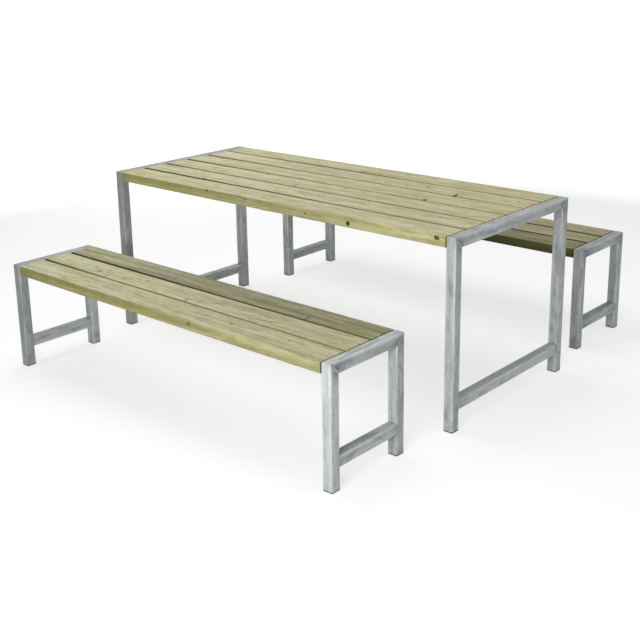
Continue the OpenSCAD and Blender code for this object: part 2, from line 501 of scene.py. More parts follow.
@dataclass(frozen=True)
class Effects:
    """The effects that more than one finish uses."""

    streaks: bpy.types.NodeTree
    patches: bpy.types.NodeTree
    wear: bpy.types.NodeTree
    dust: bpy.types.NodeTree

    @classmethod
    def built(cls) -> "Effects":
        """Builds each effect once."""
        return cls(cls.long_streaks(), cls.cloudy_patches(), cls.rubbed_edges(), cls.settled_dust())

    @staticmethod
    def long_streaks() -> bpy.types.NodeTree:
        """Two noises drawn out along the vector's first part, one broad and one fine.

        Returns:
            The effect.
        """
        wiring, given, out = new_effect("long_streaks", ("Along", "Across"), ("Broad", "Fine"))
        vector, along, across = given
        drawn = wiring.scaled(vector, along, across, across)
        broad = wiring.spread(wiring.noise(drawn, 1.0, 3.0, 0.55), 0.32, 0.68)
        fine = wiring.spread(wiring.noise(drawn, 5.5, 2.0, 0.6), 0.28, 0.72)
        wiring.fill(out, broad, fine)
        return wiring.tree

    @staticmethod
    def cloudy_patches() -> bpy.types.NodeTree:
        """A bent noise cut softly at a share of its range.

        Returns:
            The effect.
        """
        wiring, given, out = new_effect("cloudy_patches", ("Scale", "Low", "High"), ("Mask",))
        vector, scale, low, high = given
        wiring.fill(out, wiring.spread(wiring.noise(vector, scale, 4.0, bend=0.6), low, high))
        return wiring.tree

    @staticmethod
    def rubbed_edges() -> bpy.types.NodeTree:
        """The edge mark, broken up by a noise.

        Returns:
            The effect.
        """
        wiring, (vector, edge, amount), out = new_effect("rubbed_edges", ("Edge", "Amount"), ("Mask",))
        broken = wiring.spread(wiring.noise(vector, 60.0, 4.0, 0.6), 0.35, 0.65)
        wiring.fill(out, wiring.math("MULTIPLY", wiring.times(edge, broken), amount, clamp=True))
        return wiring.tree

    @staticmethod
    def settled_dust() -> bpy.types.NodeTree:
        """Faces that look up, broken up by a fine noise.

        Returns:
            The effect.
        """
        wiring, (vector, amount), out = new_effect("settled_dust", ("Amount",), ("Mask",))
        normal = wiring.add("ShaderNodeNewGeometry").outputs["Normal"]
        upward = wiring.spread(wiring.split(normal)[2], 0.2, 0.9)
        broken = wiring.spread(wiring.noise(vector, 240.0, 5.0, 0.7), 0.4, 0.75)
        wiring.fill(out, wiring.math("MULTIPLY", wiring.times(upward, broken), amount, clamp=True))
        return wiring.tree


class FinishWiring(Wiring):
    """The wiring of one finish, with the shared effects at hand."""

    def __init__(self, tree: bpy.types.NodeTree, effects: Effects) -> None:
        """Starts with a node tree and the shared effects."""
        super().__init__(tree)
        self.effects = effects

    def group(self, effect: bpy.types.NodeTree, **named: object) -> Node:
        """Places a shared effect."""
        return self.add("ShaderNodeGroup", settings={"node_tree": effect}, **named)

    def streaks(self, vector: Socket, along: float, across: float) -> tuple[Socket, Socket]:
        """Broad and fine streaks, where a larger number gives closer ones."""
        node = self.group(self.effects.streaks, Vector=vector, Along=along, Across=across)
        return node.outputs["Broad"], node.outputs["Fine"]

    def patches(
        self, vector: Socket, scale: float, low: float, high: float, factors: Sequence[float] | None = None
    ) -> Socket:
        """Cloudy patches, on the vector or on its parts multiplied by factors."""
        vector = self.scaled(vector, *factors) if factors else vector
        return self.group(self.effects.patches, Vector=vector, Scale=scale, Low=low, High=high).outputs[0]

    def rubbed(self, vector: Socket, edge: Socket, amount: float) -> Socket:
        """Rubbed edges."""
        return self.group(self.effects.wear, Vector=vector, Edge=edge, Amount=amount).outputs[0]

    def dust(self, vector: Socket, amount: float) -> Socket:
        """Settled dust."""
        return self.group(self.effects.dust, Vector=vector, Amount=amount).outputs[0]


# Finishes

@dataclass(frozen=True)
class Finish(ABC):
    """One finish of the set.

    Attributes:
        name: The material's name.
        slot: The record's material slot.
    """

    name: str
    slot: str

    @abstractmethod
    def wire(self, wiring: FinishWiring) -> dict[str, object]:
        """Wires the finish.

        Args:
            wiring: The finish's wiring.

        Returns:
            A value for each input of the shader, by name.
        """

    def coat(self, effects: Effects) -> "Coat":
        """Builds the finish.

        Args:
            effects: The shared effects.

        Returns:
            The material with its slot.
        """
        material = bpy.data.materials.new(self.name)
        wiring = FinishWiring(emptied(material), effects)
        shader = wiring.add("ShaderNodeBsdfPrincipled")
        for name, value in self.wire(wiring).items():
            wiring.put(shader.inputs[name], value)
        wiring.add("ShaderNodeOutputMaterial", Surface=shader.outputs[0])
        return Coat(material, self.slot)


@dataclass(frozen=True)
class Coat:
    """A built finish, with the record's slot for it."""

    material: bpy.types.Material
    slot: str


@dataclass(frozen=True)
class TreatedPine(Finish):
    """Planed pressure treated pine: pale on the upper faces, which sunlight bleaches, olive on the edges and
    below.

    The growth rings follow the plank's own marks. "log" holds the distance from the log's heart, the share
    of a knot's radius and how dark that knot is. "face" holds how bleached the face is, with painted light
    on some front sides, the eased edge and how far the face is darkened, which is moist soiling together with
    painted shade in the gaps, at the ends and under the table. "board" holds the plank's lightness, its own
    with painted light and shade along it, its tint and a number that sets its pattern apart from its
    neighbours'.
    """

    name: str = "treated_pine"
    slot: str = "pressure_treated_pine"
    early: Colour = (206, 200, 149)
    late: Colour = (160, 151, 94)
    olive: Colour = (152, 154, 72)
    bleached: Colour = (214, 211, 186)
    blush: Colour = (214, 198, 168)
    knot_light: Colour = (150, 137, 88)
    knot_dark: Colour = (34, 26, 9)
    knot_rim: Colour = (196, 190, 134)
    # Dark olive multiplied over the wood where the face mark darkens it: moist soiling with painted shade in
    # the gaps, at the ends and under the table.
    damp_and_shade: Colour = (88, 78, 16)
    # Pale green on bleached faces, in patches that grow towards the left end as a painted sheen.
    fresh_and_sheen: Colour = (203, 208, 177)
    ring_width: float = 3.1 * MM
    ring_curve: Sequence[tuple[float, float]] = (
        (0.0, 0.0), (0.35, 0.08), (0.72, 0.75), (0.86, 1.0), (0.93, 0.7), (1.0, 0.0)
    )
    first_ring: float = 40.0
    relief: float = 0.35 * MM

    def rings(self, wiring: FinishWiring, distance: Socket, place: Socket) -> Socket:
        """The share of late wood, from the count of rings between the log's heart and the point.

        It rises slowly through a ring and drops at its end, and each ring has its own depth. The count
        starts at a number that keeps it above 0 where the distance is bent below it.

        Args:
            wiring: The finish's wiring.
            distance: The distance from the log's heart.
            place: The place that bends the rings.

        Returns:
            The share, from 0 to 1.
        """
        bend = wiring.noise(wiring.scaled(place, 1.5, 16.0, 16.0), 1.0)
        count = wiring.math("MULTIPLY_ADD", distance, 1 / self.ring_width, self.first_ring)
        count = wiring.math("ADD", count, wiring.times(bend, 1.6))
        share = wiring.ramp(wiring.math("FRACT", count), self.ring_curve)
        number = wiring.math("FLOOR", count)
        ring = wiring.add("ShaderNodeTexWhiteNoise", settings={"noise_dimensions": "1D"}, W=number)
        return wiring.times(share, wiring.between(ring.outputs["Value"], 0.45, 1.0))

    def weathered(
        self, wiring: FinishWiring, place: Socket, late: Socket, broad: Socket, bleach: Socket, tint: Socket
    ) -> Socket:
        """The wood's colour without its knots, green in the shade and pale or rosy where bleached, with pale
        green patches that grow into a painted sheen towards the left end.

        Args:
            wiring: The finish's wiring.
            place: The place, moved by the plank's own number.
            late: The share of late wood.
            broad: Broad streaks along the grain.
            bleach: How bleached the face is.
            tint: Added to the green.

        Returns:
            The colour.
        """
        shade = wiring.math("SUBTRACT", 1.0, bleach)
        cloud = wiring.patches(place, 2.6, 0.35, 0.7, (1.0, 3.0, 3.0))
        green = wiring.times(shade, 0.35)
        green = wiring.math("MULTIPLY_ADD", cloud, wiring.between(shade, 0.3, 0.6), green)
        green = wiring.math("ADD", green, tint, clamp=True)
        rosy = wiring.patches(place, 7.3, 0.44, 0.62, (1.0, 2.2, 2.2))
        fresh_and_sheen = wiring.patches(place, 6.1, 0.42, 0.68, (1.0, 1.6, 1.6))
        spots = wiring.patches(place, 16.0, 0.46, 0.7, (1.0, 2.2, 2.2))
        dashes = wiring.streaks(place, 11.0, 190.0)[0]
        # Painted sheen: bleached faces grow paler and greener towards the left end.
        sheen_leftward = wiring.spread(wiring.split(wiring.place())[0], 0.3, -0.9, 0.25, 0.9)
        colour = wiring.mix(wiring.times(late, 0.9), linear(self.early), linear(self.late))
        return wiring.covered(
            colour,
            (green, self.olive),
            (wiring.times(bleach, wiring.between(broad, 0.16, 0.5)), self.bleached),
            (wiring.times(rosy, bleach, 0.55), self.blush),
            (wiring.times(fresh_and_sheen, bleach, sheen_leftward), self.fresh_and_sheen),
            (wiring.spread(dashes, 0.6, 1.0, 0.0, 0.6), self.late),
            (wiring.times(spots, 0.45), self.late),
        )

    def knotted(self, wiring: FinishWiring, colour: Socket, knot: Socket, dark: Socket) -> Socket:
        """The wood's colour with its knots: rings round each core, a line of bark and a stained rim.

        Args:
            wiring: The finish's wiring.
            colour: The wood's colour without them.
            knot: The share of the nearest knot's radius.
            dark: How dark that knot is.

        Returns:
            The colour.
        """
        ringed = wiring.spread(wiring.math("FRACT", wiring.times(knot, 4.0)), 0.2, 1.0)
        core = wiring.times(dark, wiring.math("MULTIPLY_ADD", ringed, 0.3, 0.7))
        core = wiring.covered(linear(self.knot_light), (core, self.knot_dark))
        rim = wiring.covered(linear(self.knot_light), (wiring.spread(dark, 0.4, 0.8), self.knot_rim))
        halo = wiring.times(wiring.spread(knot, 2.4, 1.0), wiring.spread(dark, 0.3, 1.0, 0.3, 0.5))
        colour = wiring.mix(halo, colour, rim)
        colour = wiring.mix(wiring.spread(knot, 1.08, 0.92), colour, core)
        off_edge = wiring.math("ABSOLUTE", wiring.math("SUBTRACT", knot, 1.0))
        bark = wiring.times(wiring.spread(off_edge, 0.22, 0.04), dark)
        return wiring.covered(colour, (bark, self.knot_dark))

    def wire(self, wiring: FinishWiring) -> dict[str, object]:
        """Wires the wood: weathered, knotted, rubbed, darkened by soiling and painted shade, shaded by its
        streaks and by its lightness with painted light and shade, and dusty.

        Args:
            wiring: The finish's wiring.

        Returns:
            A value for each input of the shader, by name.
        """
        distance, knot, dark = wiring.split(wiring.mark("log"))
        bleach, edge, dirt_and_shade = wiring.split(wiring.mark("face"))
        tone_and_shade, tint, seed = wiring.split(wiring.mark("board"))
        place = wiring.vector("ADD", wiring.place(), wiring.joined(seed, seed, seed))
        late = self.rings(wiring, distance, place)
        broad = wiring.streaks(place, 1.8, 42.0)[0]
        fine = wiring.streaks(place, 6.0, 420.0)[1]

        colour = self.weathered(wiring, place, late, broad, bleach, tint)
        colour = self.knotted(wiring, colour, knot, dark)
        colour = wiring.covered(colour, (wiring.rubbed(place, edge, 0.55), self.late))
        # Painted shade with soiling: the sides in the gaps, the ends and the rear bench under the table are
        # darkened in colour.
        colour = wiring.mix(dirt_and_shade, colour, linear(self.damp_and_shade), "MULTIPLY")
        contrast = wiring.between(wiring.math("SUBTRACT", 1.0, bleach), 0.22, 0.36)
        level = wiring.math("MULTIPLY_ADD", wiring.math("SUBTRACT", broad, 0.5), contrast, 1.0)
        level = wiring.math("MULTIPLY_ADD", wiring.math("SUBTRACT", fine, 0.5), 0.12, level)
        # Painted light and shade along the plank, with its own lightness, from the board mark.
        level = wiring.math("ADD", level, tone_and_shade)
        colour = wiring.mix(1.0, colour, wiring.joined(level, level, level), "MULTIPLY")
        height = wiring.math("MULTIPLY_ADD", late, 0.5, wiring.times(fine, 0.4))
        return {
            "Base Color": wiring.covered(colour, (wiring.dust(place, 0.16), self.bleached)),
            "Specular IOR Level": 0.3,
            "Roughness": wiring.between(fine, 0.58, 0.76),
            "Normal": wiring.bump(0.8, self.relief, height),
        }


@dataclass(frozen=True)
class Galvanised(Finish):
    """Hot dip zinc on steel: cloudy grey crystals with runs along the tube, duller where tubes are welded.

    "local" holds the place along the tube and in its section. "tube" holds how near a weld lies, the
    rounded corner, which carries a painted highlight, and how bright the piece is made, its own zinc with
    painted light and shade.
    """

    name: str = "galvanised_steel"
    slot: str = "galvanised_steel"
    bright: Colour = (207, 214, 212)
    dull: Colour = (165, 170, 170)
    stain: Colour = (104, 113, 125)
    burnt: Colour = (74, 83, 94)
    # Near white along the rounded corners: a painted highlight with rubbed zinc.
    polish_and_highlight: Colour = (232, 237, 235)
    metallic: float = 0.25
    relief: float = 0.12 * MM

    def wire(self, wiring: FinishWiring) -> dict[str, object]:
        """Wires the zinc: runs, clouds and crystals, then stains, scorched welds and rubbed corners with a
        painted highlight.

        Args:
            wiring: The finish's wiring.

        Returns:
            A value for each input of the shader, by name.
        """
        local = wiring.mark("local")
        weld, edge, lift_and_shade = wiring.split(wiring.mark("tube"))
        broad, fine = wiring.streaks(local, 5.0, 85.0)
        clouds = wiring.patches(local, 34.0, 0.3, 0.72, (0.45, 1.0, 1.0))
        stains = wiring.patches(local, 30.0, 0.52, 0.66, (0.5, 1.0, 1.0))
        scorch = wiring.patches(local, 46.0, 0.25, 0.6)
        crystal = wiring.add("ShaderNodeTexVoronoi", Vector=local, Scale=95.0)
        facet = wiring.add("ShaderNodeSeparateColor", Color=crystal.outputs["Color"]).outputs[0]

        share = wiring.math("MULTIPLY_ADD", broad, 0.4, wiring.times(clouds, 0.28))
        share = wiring.math("MULTIPLY_ADD", facet, 0.24, share)
        share = wiring.math("MULTIPLY_ADD", wiring.math("SUBTRACT", fine, 0.5), 0.32, share)
        # Painted light and shade with the zinc's own brightness, per tube.
        share = wiring.math("ADD", share, lift_and_shade, clamp=True)
        # Painted highlight along the rounded corners, with rubbed zinc, fainter on darker tubes.
        rim = wiring.times(edge, wiring.between(broad, 0.05, 0.5), wiring.spread(lift_and_shade, -0.8, 0.0, 0.2, 1.0))
        colour = wiring.covered(
            linear(self.dull),
            (share, self.bright),
            (wiring.times(stains, 0.35), self.stain),
            (wiring.times(weld, scorch, 0.95), self.burnt),
            (rim, self.polish_and_highlight),
        )
        height = wiring.math("MULTIPLY_ADD", facet, 0.3, wiring.noise(local, 260.0, 4.0, 0.6))
        return {
            "Base Color": colour,
            "Metallic": self.metallic,
            "Specular IOR Level": 0.3,
            "Roughness": wiring.between(share, 0.68, 0.52),
            "Normal": wiring.bump(0.5, self.relief, height),
        }


@dataclass(frozen=True)
class ZincPlated(Finish):
    """Thin bright zinc on the angles, flat bars and screws, with a faint yellow passivation."""

    name: str = "zinc_plated"
    slot: str = "zinc_plated_fixings"
    bright: Colour = (196, 199, 198)
    yellow: Colour = (188, 182, 158)
    dull: Colour = (136, 140, 142)
    metallic: float = 0.85
    relief: float = 0.05 * MM

    def wire(self, wiring: FinishWiring) -> dict[str, object]:
        """Wires the zinc: dull clouds, a yellow film and dust, over fine lines from the rolling.

        Args:
            wiring: The finish's wiring.

        Returns:
            A value for each input of the shader, by name.
        """
        place = wiring.place()
        broad, fine = wiring.streaks(place, 400.0, 9.0)
        colour = wiring.covered(
            linear(self.bright),
            (wiring.patches(place, 24.0, 0.35, 0.7), self.dull),
            (wiring.times(wiring.patches(place, 9.0, 0.4, 0.75), 0.5), self.yellow),
            (wiring.dust(place, 0.3), self.dull),
        )
        return {
            "Base Color": colour,
            "Metallic": self.metallic,
            "Roughness": wiring.between(broad, 0.32, 0.46),
            "Normal": wiring.bump(0.4, self.relief, fine),
        }


@dataclass(frozen=True)
class MouldedPlastic(Finish):
    """Dark moulded plastic with a fine grain, dusty where it looks up. "tube" holds its eased edge."""

    name: str = "moulded_plastic"
    slot: str = "black_plastic"
    base: Colour = (27, 28, 29)
    scuffed: Colour = (80, 82, 81)
    grain: float = 0.06 * MM

    def wire(self, wiring: FinishWiring) -> dict[str, object]:
        """Wires the plastic: clouds, scuffed edges and dust.

        Args:
            wiring: The finish's wiring.

        Returns:
            A value for each input of the shader, by name.
        """
        place = wiring.place()
        edge = wiring.split(wiring.mark("tube"))[1]
        clouds = wiring.patches(place, 70.0, 0.4, 0.8)
        colour = wiring.covered(
            linear(self.base),
            (wiring.times(clouds, 0.25), self.scuffed),
            (wiring.rubbed(place, edge, 0.5), self.scuffed),
            (wiring.dust(place, 0.6), self.scuffed),
        )
        return {
            "Base Color": colour,
            "Roughness": wiring.between(clouds, 0.5, 0.66),
            "Normal": wiring.bump(0.6, self.grain, wiring.noise(place, 1400.0)),
        }


@dataclass(frozen=True)
class Finishes:
    """The built finishes of the whole set."""

    pine: Coat
    galvanised: Coat
    plated: Coat
    plastic: Coat

    @classmethod
    def built(cls) -> "Finishes":
        """Builds the shared effects once and every finish with them."""
        effects = Effects.built()
        return cls(*(kind().coat(effects) for kind in (TreatedPine, Galvanised, ZincPlated, MouldedPlastic)))


# Pieces

@dataclass(frozen=True)
class Box:
    """The box round a CAD node at rest."""

    low: np.ndarray
    high: np.ndarray

    @classmethod
    def of(cls, node: str) -> "Box":
        """The box of a node in the frame."""
        low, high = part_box(node)
        return cls(np.array(low), np.array(high))

    @property
    def middle(self) -> np.ndarray:
        """The box's middle."""
        return (self.low + self.high) / 2

    @property
    def size(self) -> np.ndarray:
        """The box's size along X, Y and Z."""
        return self.high - self.low

    def face(self, axis: int, way: float) -> float:
        """Where the face lies that looks forwards along an axis, or backwards where the way is below 0."""
        return (self.high if way > 0 else self.low)[axis]


@dataclass(frozen=True)
class Knot:
    """A branch that the saw cut through, as a cone that grows from the log's heart to the plank's face.

    Attributes:
        place: Where the cone's axis meets the face, from the plank's middle.
        radius: The cone's radius there.
        dark: 0 for a pale live knot, 1 for a black dead one.
        stretch: How much longer it is along the grain than across it.
        root: Where the axis starts, for a branch that lies along the face. Otherwise it starts at the heart.
    """

    place: tuple[float, float, float]
    radius: float
    dark: float
    stretch: float = 1.0
    root: tuple[float, float, float] | None = None


@dataclass(frozen=True)
class Check:
    """A narrow drying crack in the top face.

    Attributes:
        start: Where it starts along the plank, from the plank's middle.
        end: Where it ends.
        across: Where its middle lies across the plank.
        slant: How far it moves across the plank for each metre along it.
        width: Its width.
        depth: Its depth.
    """

    start: float
    end: float
    across: float
    slant: float = 0.0
    width: float = 2.2 * MM
    depth: float = 1.4 * MM

    @property
    def reach(self) -> float:
        """How far from its middle it comes across the plank, with room for its own width and wander."""
        return abs(self.slant) * (self.end - self.start) / 2 + self.width + 1 * MM

    def openness(self, points: np.ndarray, rng: np.random.Generator) -> np.ndarray:
        """How open it is at points of the plank's top face.

        The openness falls evenly from the line to its edges, and along the line it follows half a sine
        wave.

        Args:
            points: Points from the plank's middle.
            rng: Source of the line's wander.

        Returns:
            0 outside the crack and 1 on the middle of its line.
        """
        x, y = points[..., 0], points[..., 1]
        middle = (self.start + self.end) / 2
        line = self.across + self.slant * (x - middle) + ripple(rng, x, (0.21, 0.083, 0.031)) * 0.8 * MM
        inside = np.clip((x - self.start) / (self.end - self.start), 0, 1)
        return np.clip(1 - np.abs(y - line) / (self.width / 2), 0, 1) * np.sin(math.pi * inside) ** 0.6


@dataclass
class Plank:
    """One plank, sawn from a log whose heart lies near it.

    Attributes:
        node: The CAD node that it stands for.
        seed: Sets its grain apart from the other planks'.
        tones_and_shades: Added to its brightness, at even places from its left end to its right end: its own
            lightness with painted light and shade along it.
        tint: Added to its greenness.
        sun: How far its front side is paled, from left to right, where 1 is as pale as the top: bleaching
            with painted light, palest at the right end.
        grime_and_shade: How dark its front side is made, from left to right: moist soiling where the next
            plank lies, with painted shade in the gap, and on the rear bench the painted shadow of the table.
        rear_grime: The same for its rear side.
        knots: Knots at known places, besides the small ones drawn by the seed.
        checks: Cracks at known places.
        end_grime_and_shade: How dark its ends are made, which face the rails: soiling with painted shade in
            the gap.
        rear_share: How dark the rear side of a joint is made beside its front side.
        step: Distance between rings along the plank.
        edge_radius: Radius of the long edges.
        end_easing: Radius of the edges round the two ends.
        cup: How much the broad faces hollow.
        wave: How far the surface's slow wave reaches on each side of its middle.
        knot_dip: How deep a black knot is sunk.
        check_dirt: How fast a crack's dirt grows with its openness.
        apart: How far the patterns of planks with neighbouring seeds lie apart.
        knocks: Number of knocks along its edges.
        columns: Number of points across the top, up a side and across the underside.
        cap_rings: Number of rings that close each end.
    """

    node: str
    seed: int
    tones_and_shades: tuple[float, ...] = (0.0,)
    tint: float = 0.0
    sun: tuple[float, ...] = (0.0,)
    grime_and_shade: tuple[float, ...] = (0.0,)
    rear_grime: tuple[float, ...] = (0.0,)
    knots: tuple[Knot, ...] = ()
    checks: tuple[Check, ...] = ()
    end_grime_and_shade: float = 0.45
    rear_share: float = 0.7
    step: float = 3.2 * MM
    edge_radius: float = 3 * MM
    end_easing: float = 1.2 * MM
    cup: float = 0.35 * MM
    wave: float = 0.12 * MM
    knot_dip: float = 0.3 * MM
    check_dirt: float = 2.0
    apart: float = 0.37
    knocks: int = 9
    columns: tuple[int, int, int] = (39, 12, 17)
    cap_rings: int = 9

    def __post_init__(self) -> None:
        """Takes the size from the frame and draws the log's own shape."""
        self.rng = np.random.default_rng(self.seed)
        self.box = Box.of(self.node)
        self.half = self.box.size / 2
        sideways = self.rng.uniform(-0.03, 0.03)
        self.heart = np.array([sideways, self.rng.choice([-1, -1, 1]) * self.rng.uniform(0.03, 0.055)])
        self.drift = self.rng.uniform(-0.012, 0.012, 2)
        self.wander_seed = int(self.rng.integers(1 << 30))
        self.knots = (*self.knots, *self.small_knots())

    def heart_line(self, x: np.ndarray) -> np.ndarray:
        """The log's heart, a straight line with a slow wander.

        Args:
            x: Places along the plank, from its middle.

        Returns:
            The heart's place in the section at each of them.
        """
        rng = np.random.default_rng(self.wander_seed)
        wander = [ripple(rng, x, (1.3, 0.71, 0.37)) * 8 * MM, ripple(rng, x, (0.97, 0.43, 0.21)) * 10 * MM]
        return self.heart + self.drift * x[..., None] + np.stack(wander, axis=-1)

    def along(self, values: Sequence[float], x: np.ndarray) -> np.ndarray:
        """Values for even places from the plank's left end to its right end, read off at x."""
        return np.interp(x, np.linspace(-self.half[0], self.half[0], len(values)), values)

    def outline(self) -> Outline:
        """Draws the section's outline, with three columns of points to the width of each check.

        Returns:
            The outline.
        """
        flat = 2 * (self.half[1] - self.edge_radius)
        top, side, bottom = (np.linspace(0, 1, count) for count in self.columns)
        for check in self.checks:
            middle, reach = 0.5 - check.across / flat, check.reach / flat
            near = np.arange(middle - reach, middle + reach, 0.33 * check.width / flat)
            near = near[(near > 0.01) & (near < 0.99)]
            top = np.concatenate([top[(top < near[0] - 0.004) | (top > near[-1] + 0.004)], near])
        return Outline.drawn([side, np.sort(top), side, bottom], arc=4)

    def stations(self) -> tuple[np.ndarray, np.ndarray]:
        """Places the rings along the plank. At both ends the last ones follow a quarter circle.

        Returns:
            Each ring's place, and how far it lies inside the plank's outline.
        """
        turn = np.linspace(0, math.pi / 2, 4)
        inset = self.end_easing * (1 - np.cos(turn))
        ahead = self.half[0] - self.end_easing * (1 - np.sin(turn))
        straight = self.half[0] - self.end_easing
        middle = np.linspace(-straight, straight, round(2 * straight / self.step))
        places = np.concatenate([-ahead[:0:-1], middle, ahead[1:]])
        return places, np.concatenate([inset[:0:-1], np.zeros(len(middle)), inset[1:]])

    def small_knots(self) -> list[Knot]:
        """Draws a few small pale knots by the seed.

        Returns:
            The knots, one in about each half metre.
        """
        drawn = []
        for x in np.arange(-self.half[0] + 0.1, self.half[0] - 0.05, 0.5) + self.rng.uniform(0, 0.3):
            across = self.rng.uniform(-0.9, 0.9) * self.half[1]
            radius, dark = self.rng.uniform(2, 4.5) * MM, self.rng.uniform(0.0, 0.12)
            drawn.append(Knot((x + self.rng.uniform(-0.03, 0.03), across, self.half[2]), radius, dark))
        return drawn

    def log_marks(self, points: np.ndarray) -> np.ndarray:
        """The log's own coordinates at points of the plank.

        The distance from the heart gives the rings. Round a knot it is less by a bell curve of the distance
        from the knot's axis, drawn out along the grain, so that the rings flow round the knot. A share of 3
        stands for no knot near.

        Args:
            points: Points from the plank's middle, as run x around x 3.

        Returns:
            The bent distance from the heart, the share of the nearest knot's radius and how dark it is.
        """
        x = points[..., 0]
        radial = points[..., 1:] - self.heart_line(x)
        distance = np.hypot(radial[..., 0], radial[..., 1])
        share, dark = np.full(x.shape, 3.0), np.zeros(x.shape)
        for knot in self.knots:
            place = np.array(knot.place)
            heart = self.heart_line(place[0])
            root = np.array([place[0] - 0.012, *heart]) if knot.root is None else np.array(knot.root)
            reach = np.linalg.norm(place - root)
            axis = (place - root) / reach
            offset = points - root
            ahead = offset @ axis
            radius = knot.radius * np.clip(0.35 + 0.65 * ahead / reach, 0.25, 1.15)
            away = (offset - ahead[..., None] * axis) / [knot.stretch, 1, 1]
            turn = np.arctan2(away[..., 0], away[..., 1] + away[..., 2]) + knot.place[0] * 90
            ragged = 1 + 0.07 * np.sin(2 * turn) + 0.05 * np.sin(5 * turn)
            ratio = np.linalg.norm(away, axis=-1) / radius * ragged + np.where(ahead < 0, 3.0, 0.0)
            drawn_out = np.linalg.norm(away * [0.42, 1, 1], axis=-1) / radius
            distance = distance - 0.85 * radius * np.exp(-((drawn_out / 1.7) ** 2)) * (ahead > 0)
            nearest = ratio < share
            share = np.where(nearest, ratio, share)
            dark = np.where(nearest, knot.dark, dark)
        return np.stack([distance, share, dark], axis=-1)

    def dents(self, points: np.ndarray) -> np.ndarray:
        """Small knocks along the long edges: bells of random depth at random places.

        Args:
            points: Points from the plank's middle.

        Returns:
            The depth at each point.
        """
        depth = np.zeros(points.shape[:2])
        for _ in range(self.knocks):
            sides = self.rng.choice([-1, 1], 2) * (self.half[1:] - 1 * MM)
            place = np.array([self.rng.uniform(-1, 1) * self.half[0], *sides])
            reach, deep = self.rng.uniform(3, 8) * MM, self.rng.uniform(0.2, 0.7) * MM
            away = ((points - place) ** 2).sum(axis=-1)
            depth += deep * np.exp(-away / reach**2)
        return depth

    def depth(self, points: np.ndarray, up: np.ndarray, log_marks: np.ndarray) -> np.ndarray:
        """How deep the wood lies inside the plank's box, apart from the checks.

        The broad faces hollow by c (1 - (y / w)^2). A slow wave, the knocks and the sunk knots come on top.

        Args:
            points: Points from the plank's middle.
            up: How much each point faces up.
            log_marks: The log's own coordinates at the points.

        Returns:
            The depth at each point.
        """
        cupped = self.cup * np.abs(up) * (1 - (points[..., 1] / self.half[1]) ** 2)
        wave = self.wave * (1 + ripple(self.rng, points[..., 0], (0.83, 0.41, 0.23)))
        sunk = self.knot_dip * log_marks[..., 2] * smooth_step(log_marks[..., 1], 1.1, 0.8)
        return cupped + wave + self.dents(points) + sunk

    def dirt_and_shade(self, outline: Outline, places: np.ndarray) -> np.ndarray:
        """How dark the plank is made towards its long sides: soiling with painted shade in the gaps.

        From a side of darkening g the darkening creeps onto both broad faces. There it is full up to 1 + 2.5
        g^2 mm from the side and gone at 2 + 6 g^2 mm.

        Args:
            outline: The section's outline.
            places: Places of the rings along the plank.

        Returns:
            The darkening, soiling with painted shade, as run x around.
        """
        facing = outline.outward[:, 0]
        across = outline.at(self.half[1:], self.edge_radius)[:, 0]
        front, rear = self.along(self.grime_and_shade, places), self.rear_share * self.along(self.rear_grime, places)
        sides = []
        for way, grime_and_shade in ((-1, front[:, None]), (1, rear[:, None])):
            from_side = (way * across - self.half[1]) / MM
            crept = smooth_step(from_side, -6 * grime_and_shade**2 - 2, -2.5 * grime_and_shade**2 - 1)
            sides.append(grime_and_shade * np.maximum(smooth_step(way * facing, 0.05, 0.6), crept))
        return sum(sides)

    def skin(self) -> Skin:
        """Works out the plank's surface.

        The outline is carried along X. Each point moves inwards by the depth of the wood and of its checks,
        so the plank never leaves its CAD box. At both ends the last ring shrinks to the middle.

        Returns:
            The surface with its marks.
        """
        outline = self.outline()
        places, inset = self.stations()
        outward = np.broadcast_to(outline.outward, (len(places), *outline.outward.shape))
        section = outline.at(self.half[1:], self.edge_radius) - inset[:, None, None] * outward
        along = np.broadcast_to(places[:, None, None], (*section.shape[:2], 1))
        points = np.concatenate([along, section], axis=-1)
        log_marks = self.log_marks(points)
        depth = self.depth(points, outward[..., 1], log_marks)
        top = outward[..., 1] > 0.99
        opened = [check.openness(points, self.rng) * top for check in self.checks]
        depth += sum(check.depth * share for check, share in zip(self.checks, opened))
        points[..., 1:] -= depth[..., None] * outward

        shrink = np.linspace(0.94, 0.06, self.cap_rings)[:, None, None] * [0, 1, 1] + [1, 0, 0]
        first, last = points[0] * shrink[::-1], points[-1] * shrink
        log_marks = np.concatenate([self.log_marks(first), log_marks, self.log_marks(last)])
        points = np.concatenate([first, points, last])
        pad = ((self.cap_rings, self.cap_rings), (0, 0))
        end = np.pad(inset, self.cap_rings, constant_values=self.end_easing) / self.end_easing
        # Painted shade with soiling: the ends darken where they face the rails across a narrow gap.
        at_end = self.end_grime_and_shade * smooth_step(end, 0.05, 0.5)[:, None]
        dirt_and_shade = np.maximum(np.pad(self.dirt_and_shade(outline, places), pad), at_end)
        dirt_and_shade = np.maximum(np.clip(self.check_dirt * np.pad(sum(opened), pad), 0, 1), dirt_and_shade)
        # Painted light with bleaching: front sides grow paler towards the right end.
        bleached_and_lit = self.along(self.sun, places)[:, None] * smooth_step(-outward[..., 0], 0.3, 0.9)
        bleach = np.pad(np.maximum(smooth_step(outward[..., 1], 0.3, 0.95), bleached_and_lit), pad)
        edge = np.pad(np.broadcast_to(outline.corner, depth.shape), pad)
        tone_and_shade, even = self.along(self.tones_and_shades, points[..., 0]), np.ones(edge.shape)
        marks = {
            "log": log_marks,
            "face": np.stack([bleach, edge, dirt_and_shade], axis=-1),
            "board": np.stack([tone_and_shade, self.tint * even, self.seed * self.apart * even], axis=-1),
        }
        return Skin(points + self.box.middle, Ends.POLES, marks)


class Cut(Enum):
    """How the end of a tube is cut."""

    MITRE = "at 45 degrees, with the outer side longest"
    SQUARE = "square, with its edge eased"
    BUTT = "square, and welded against another tube"


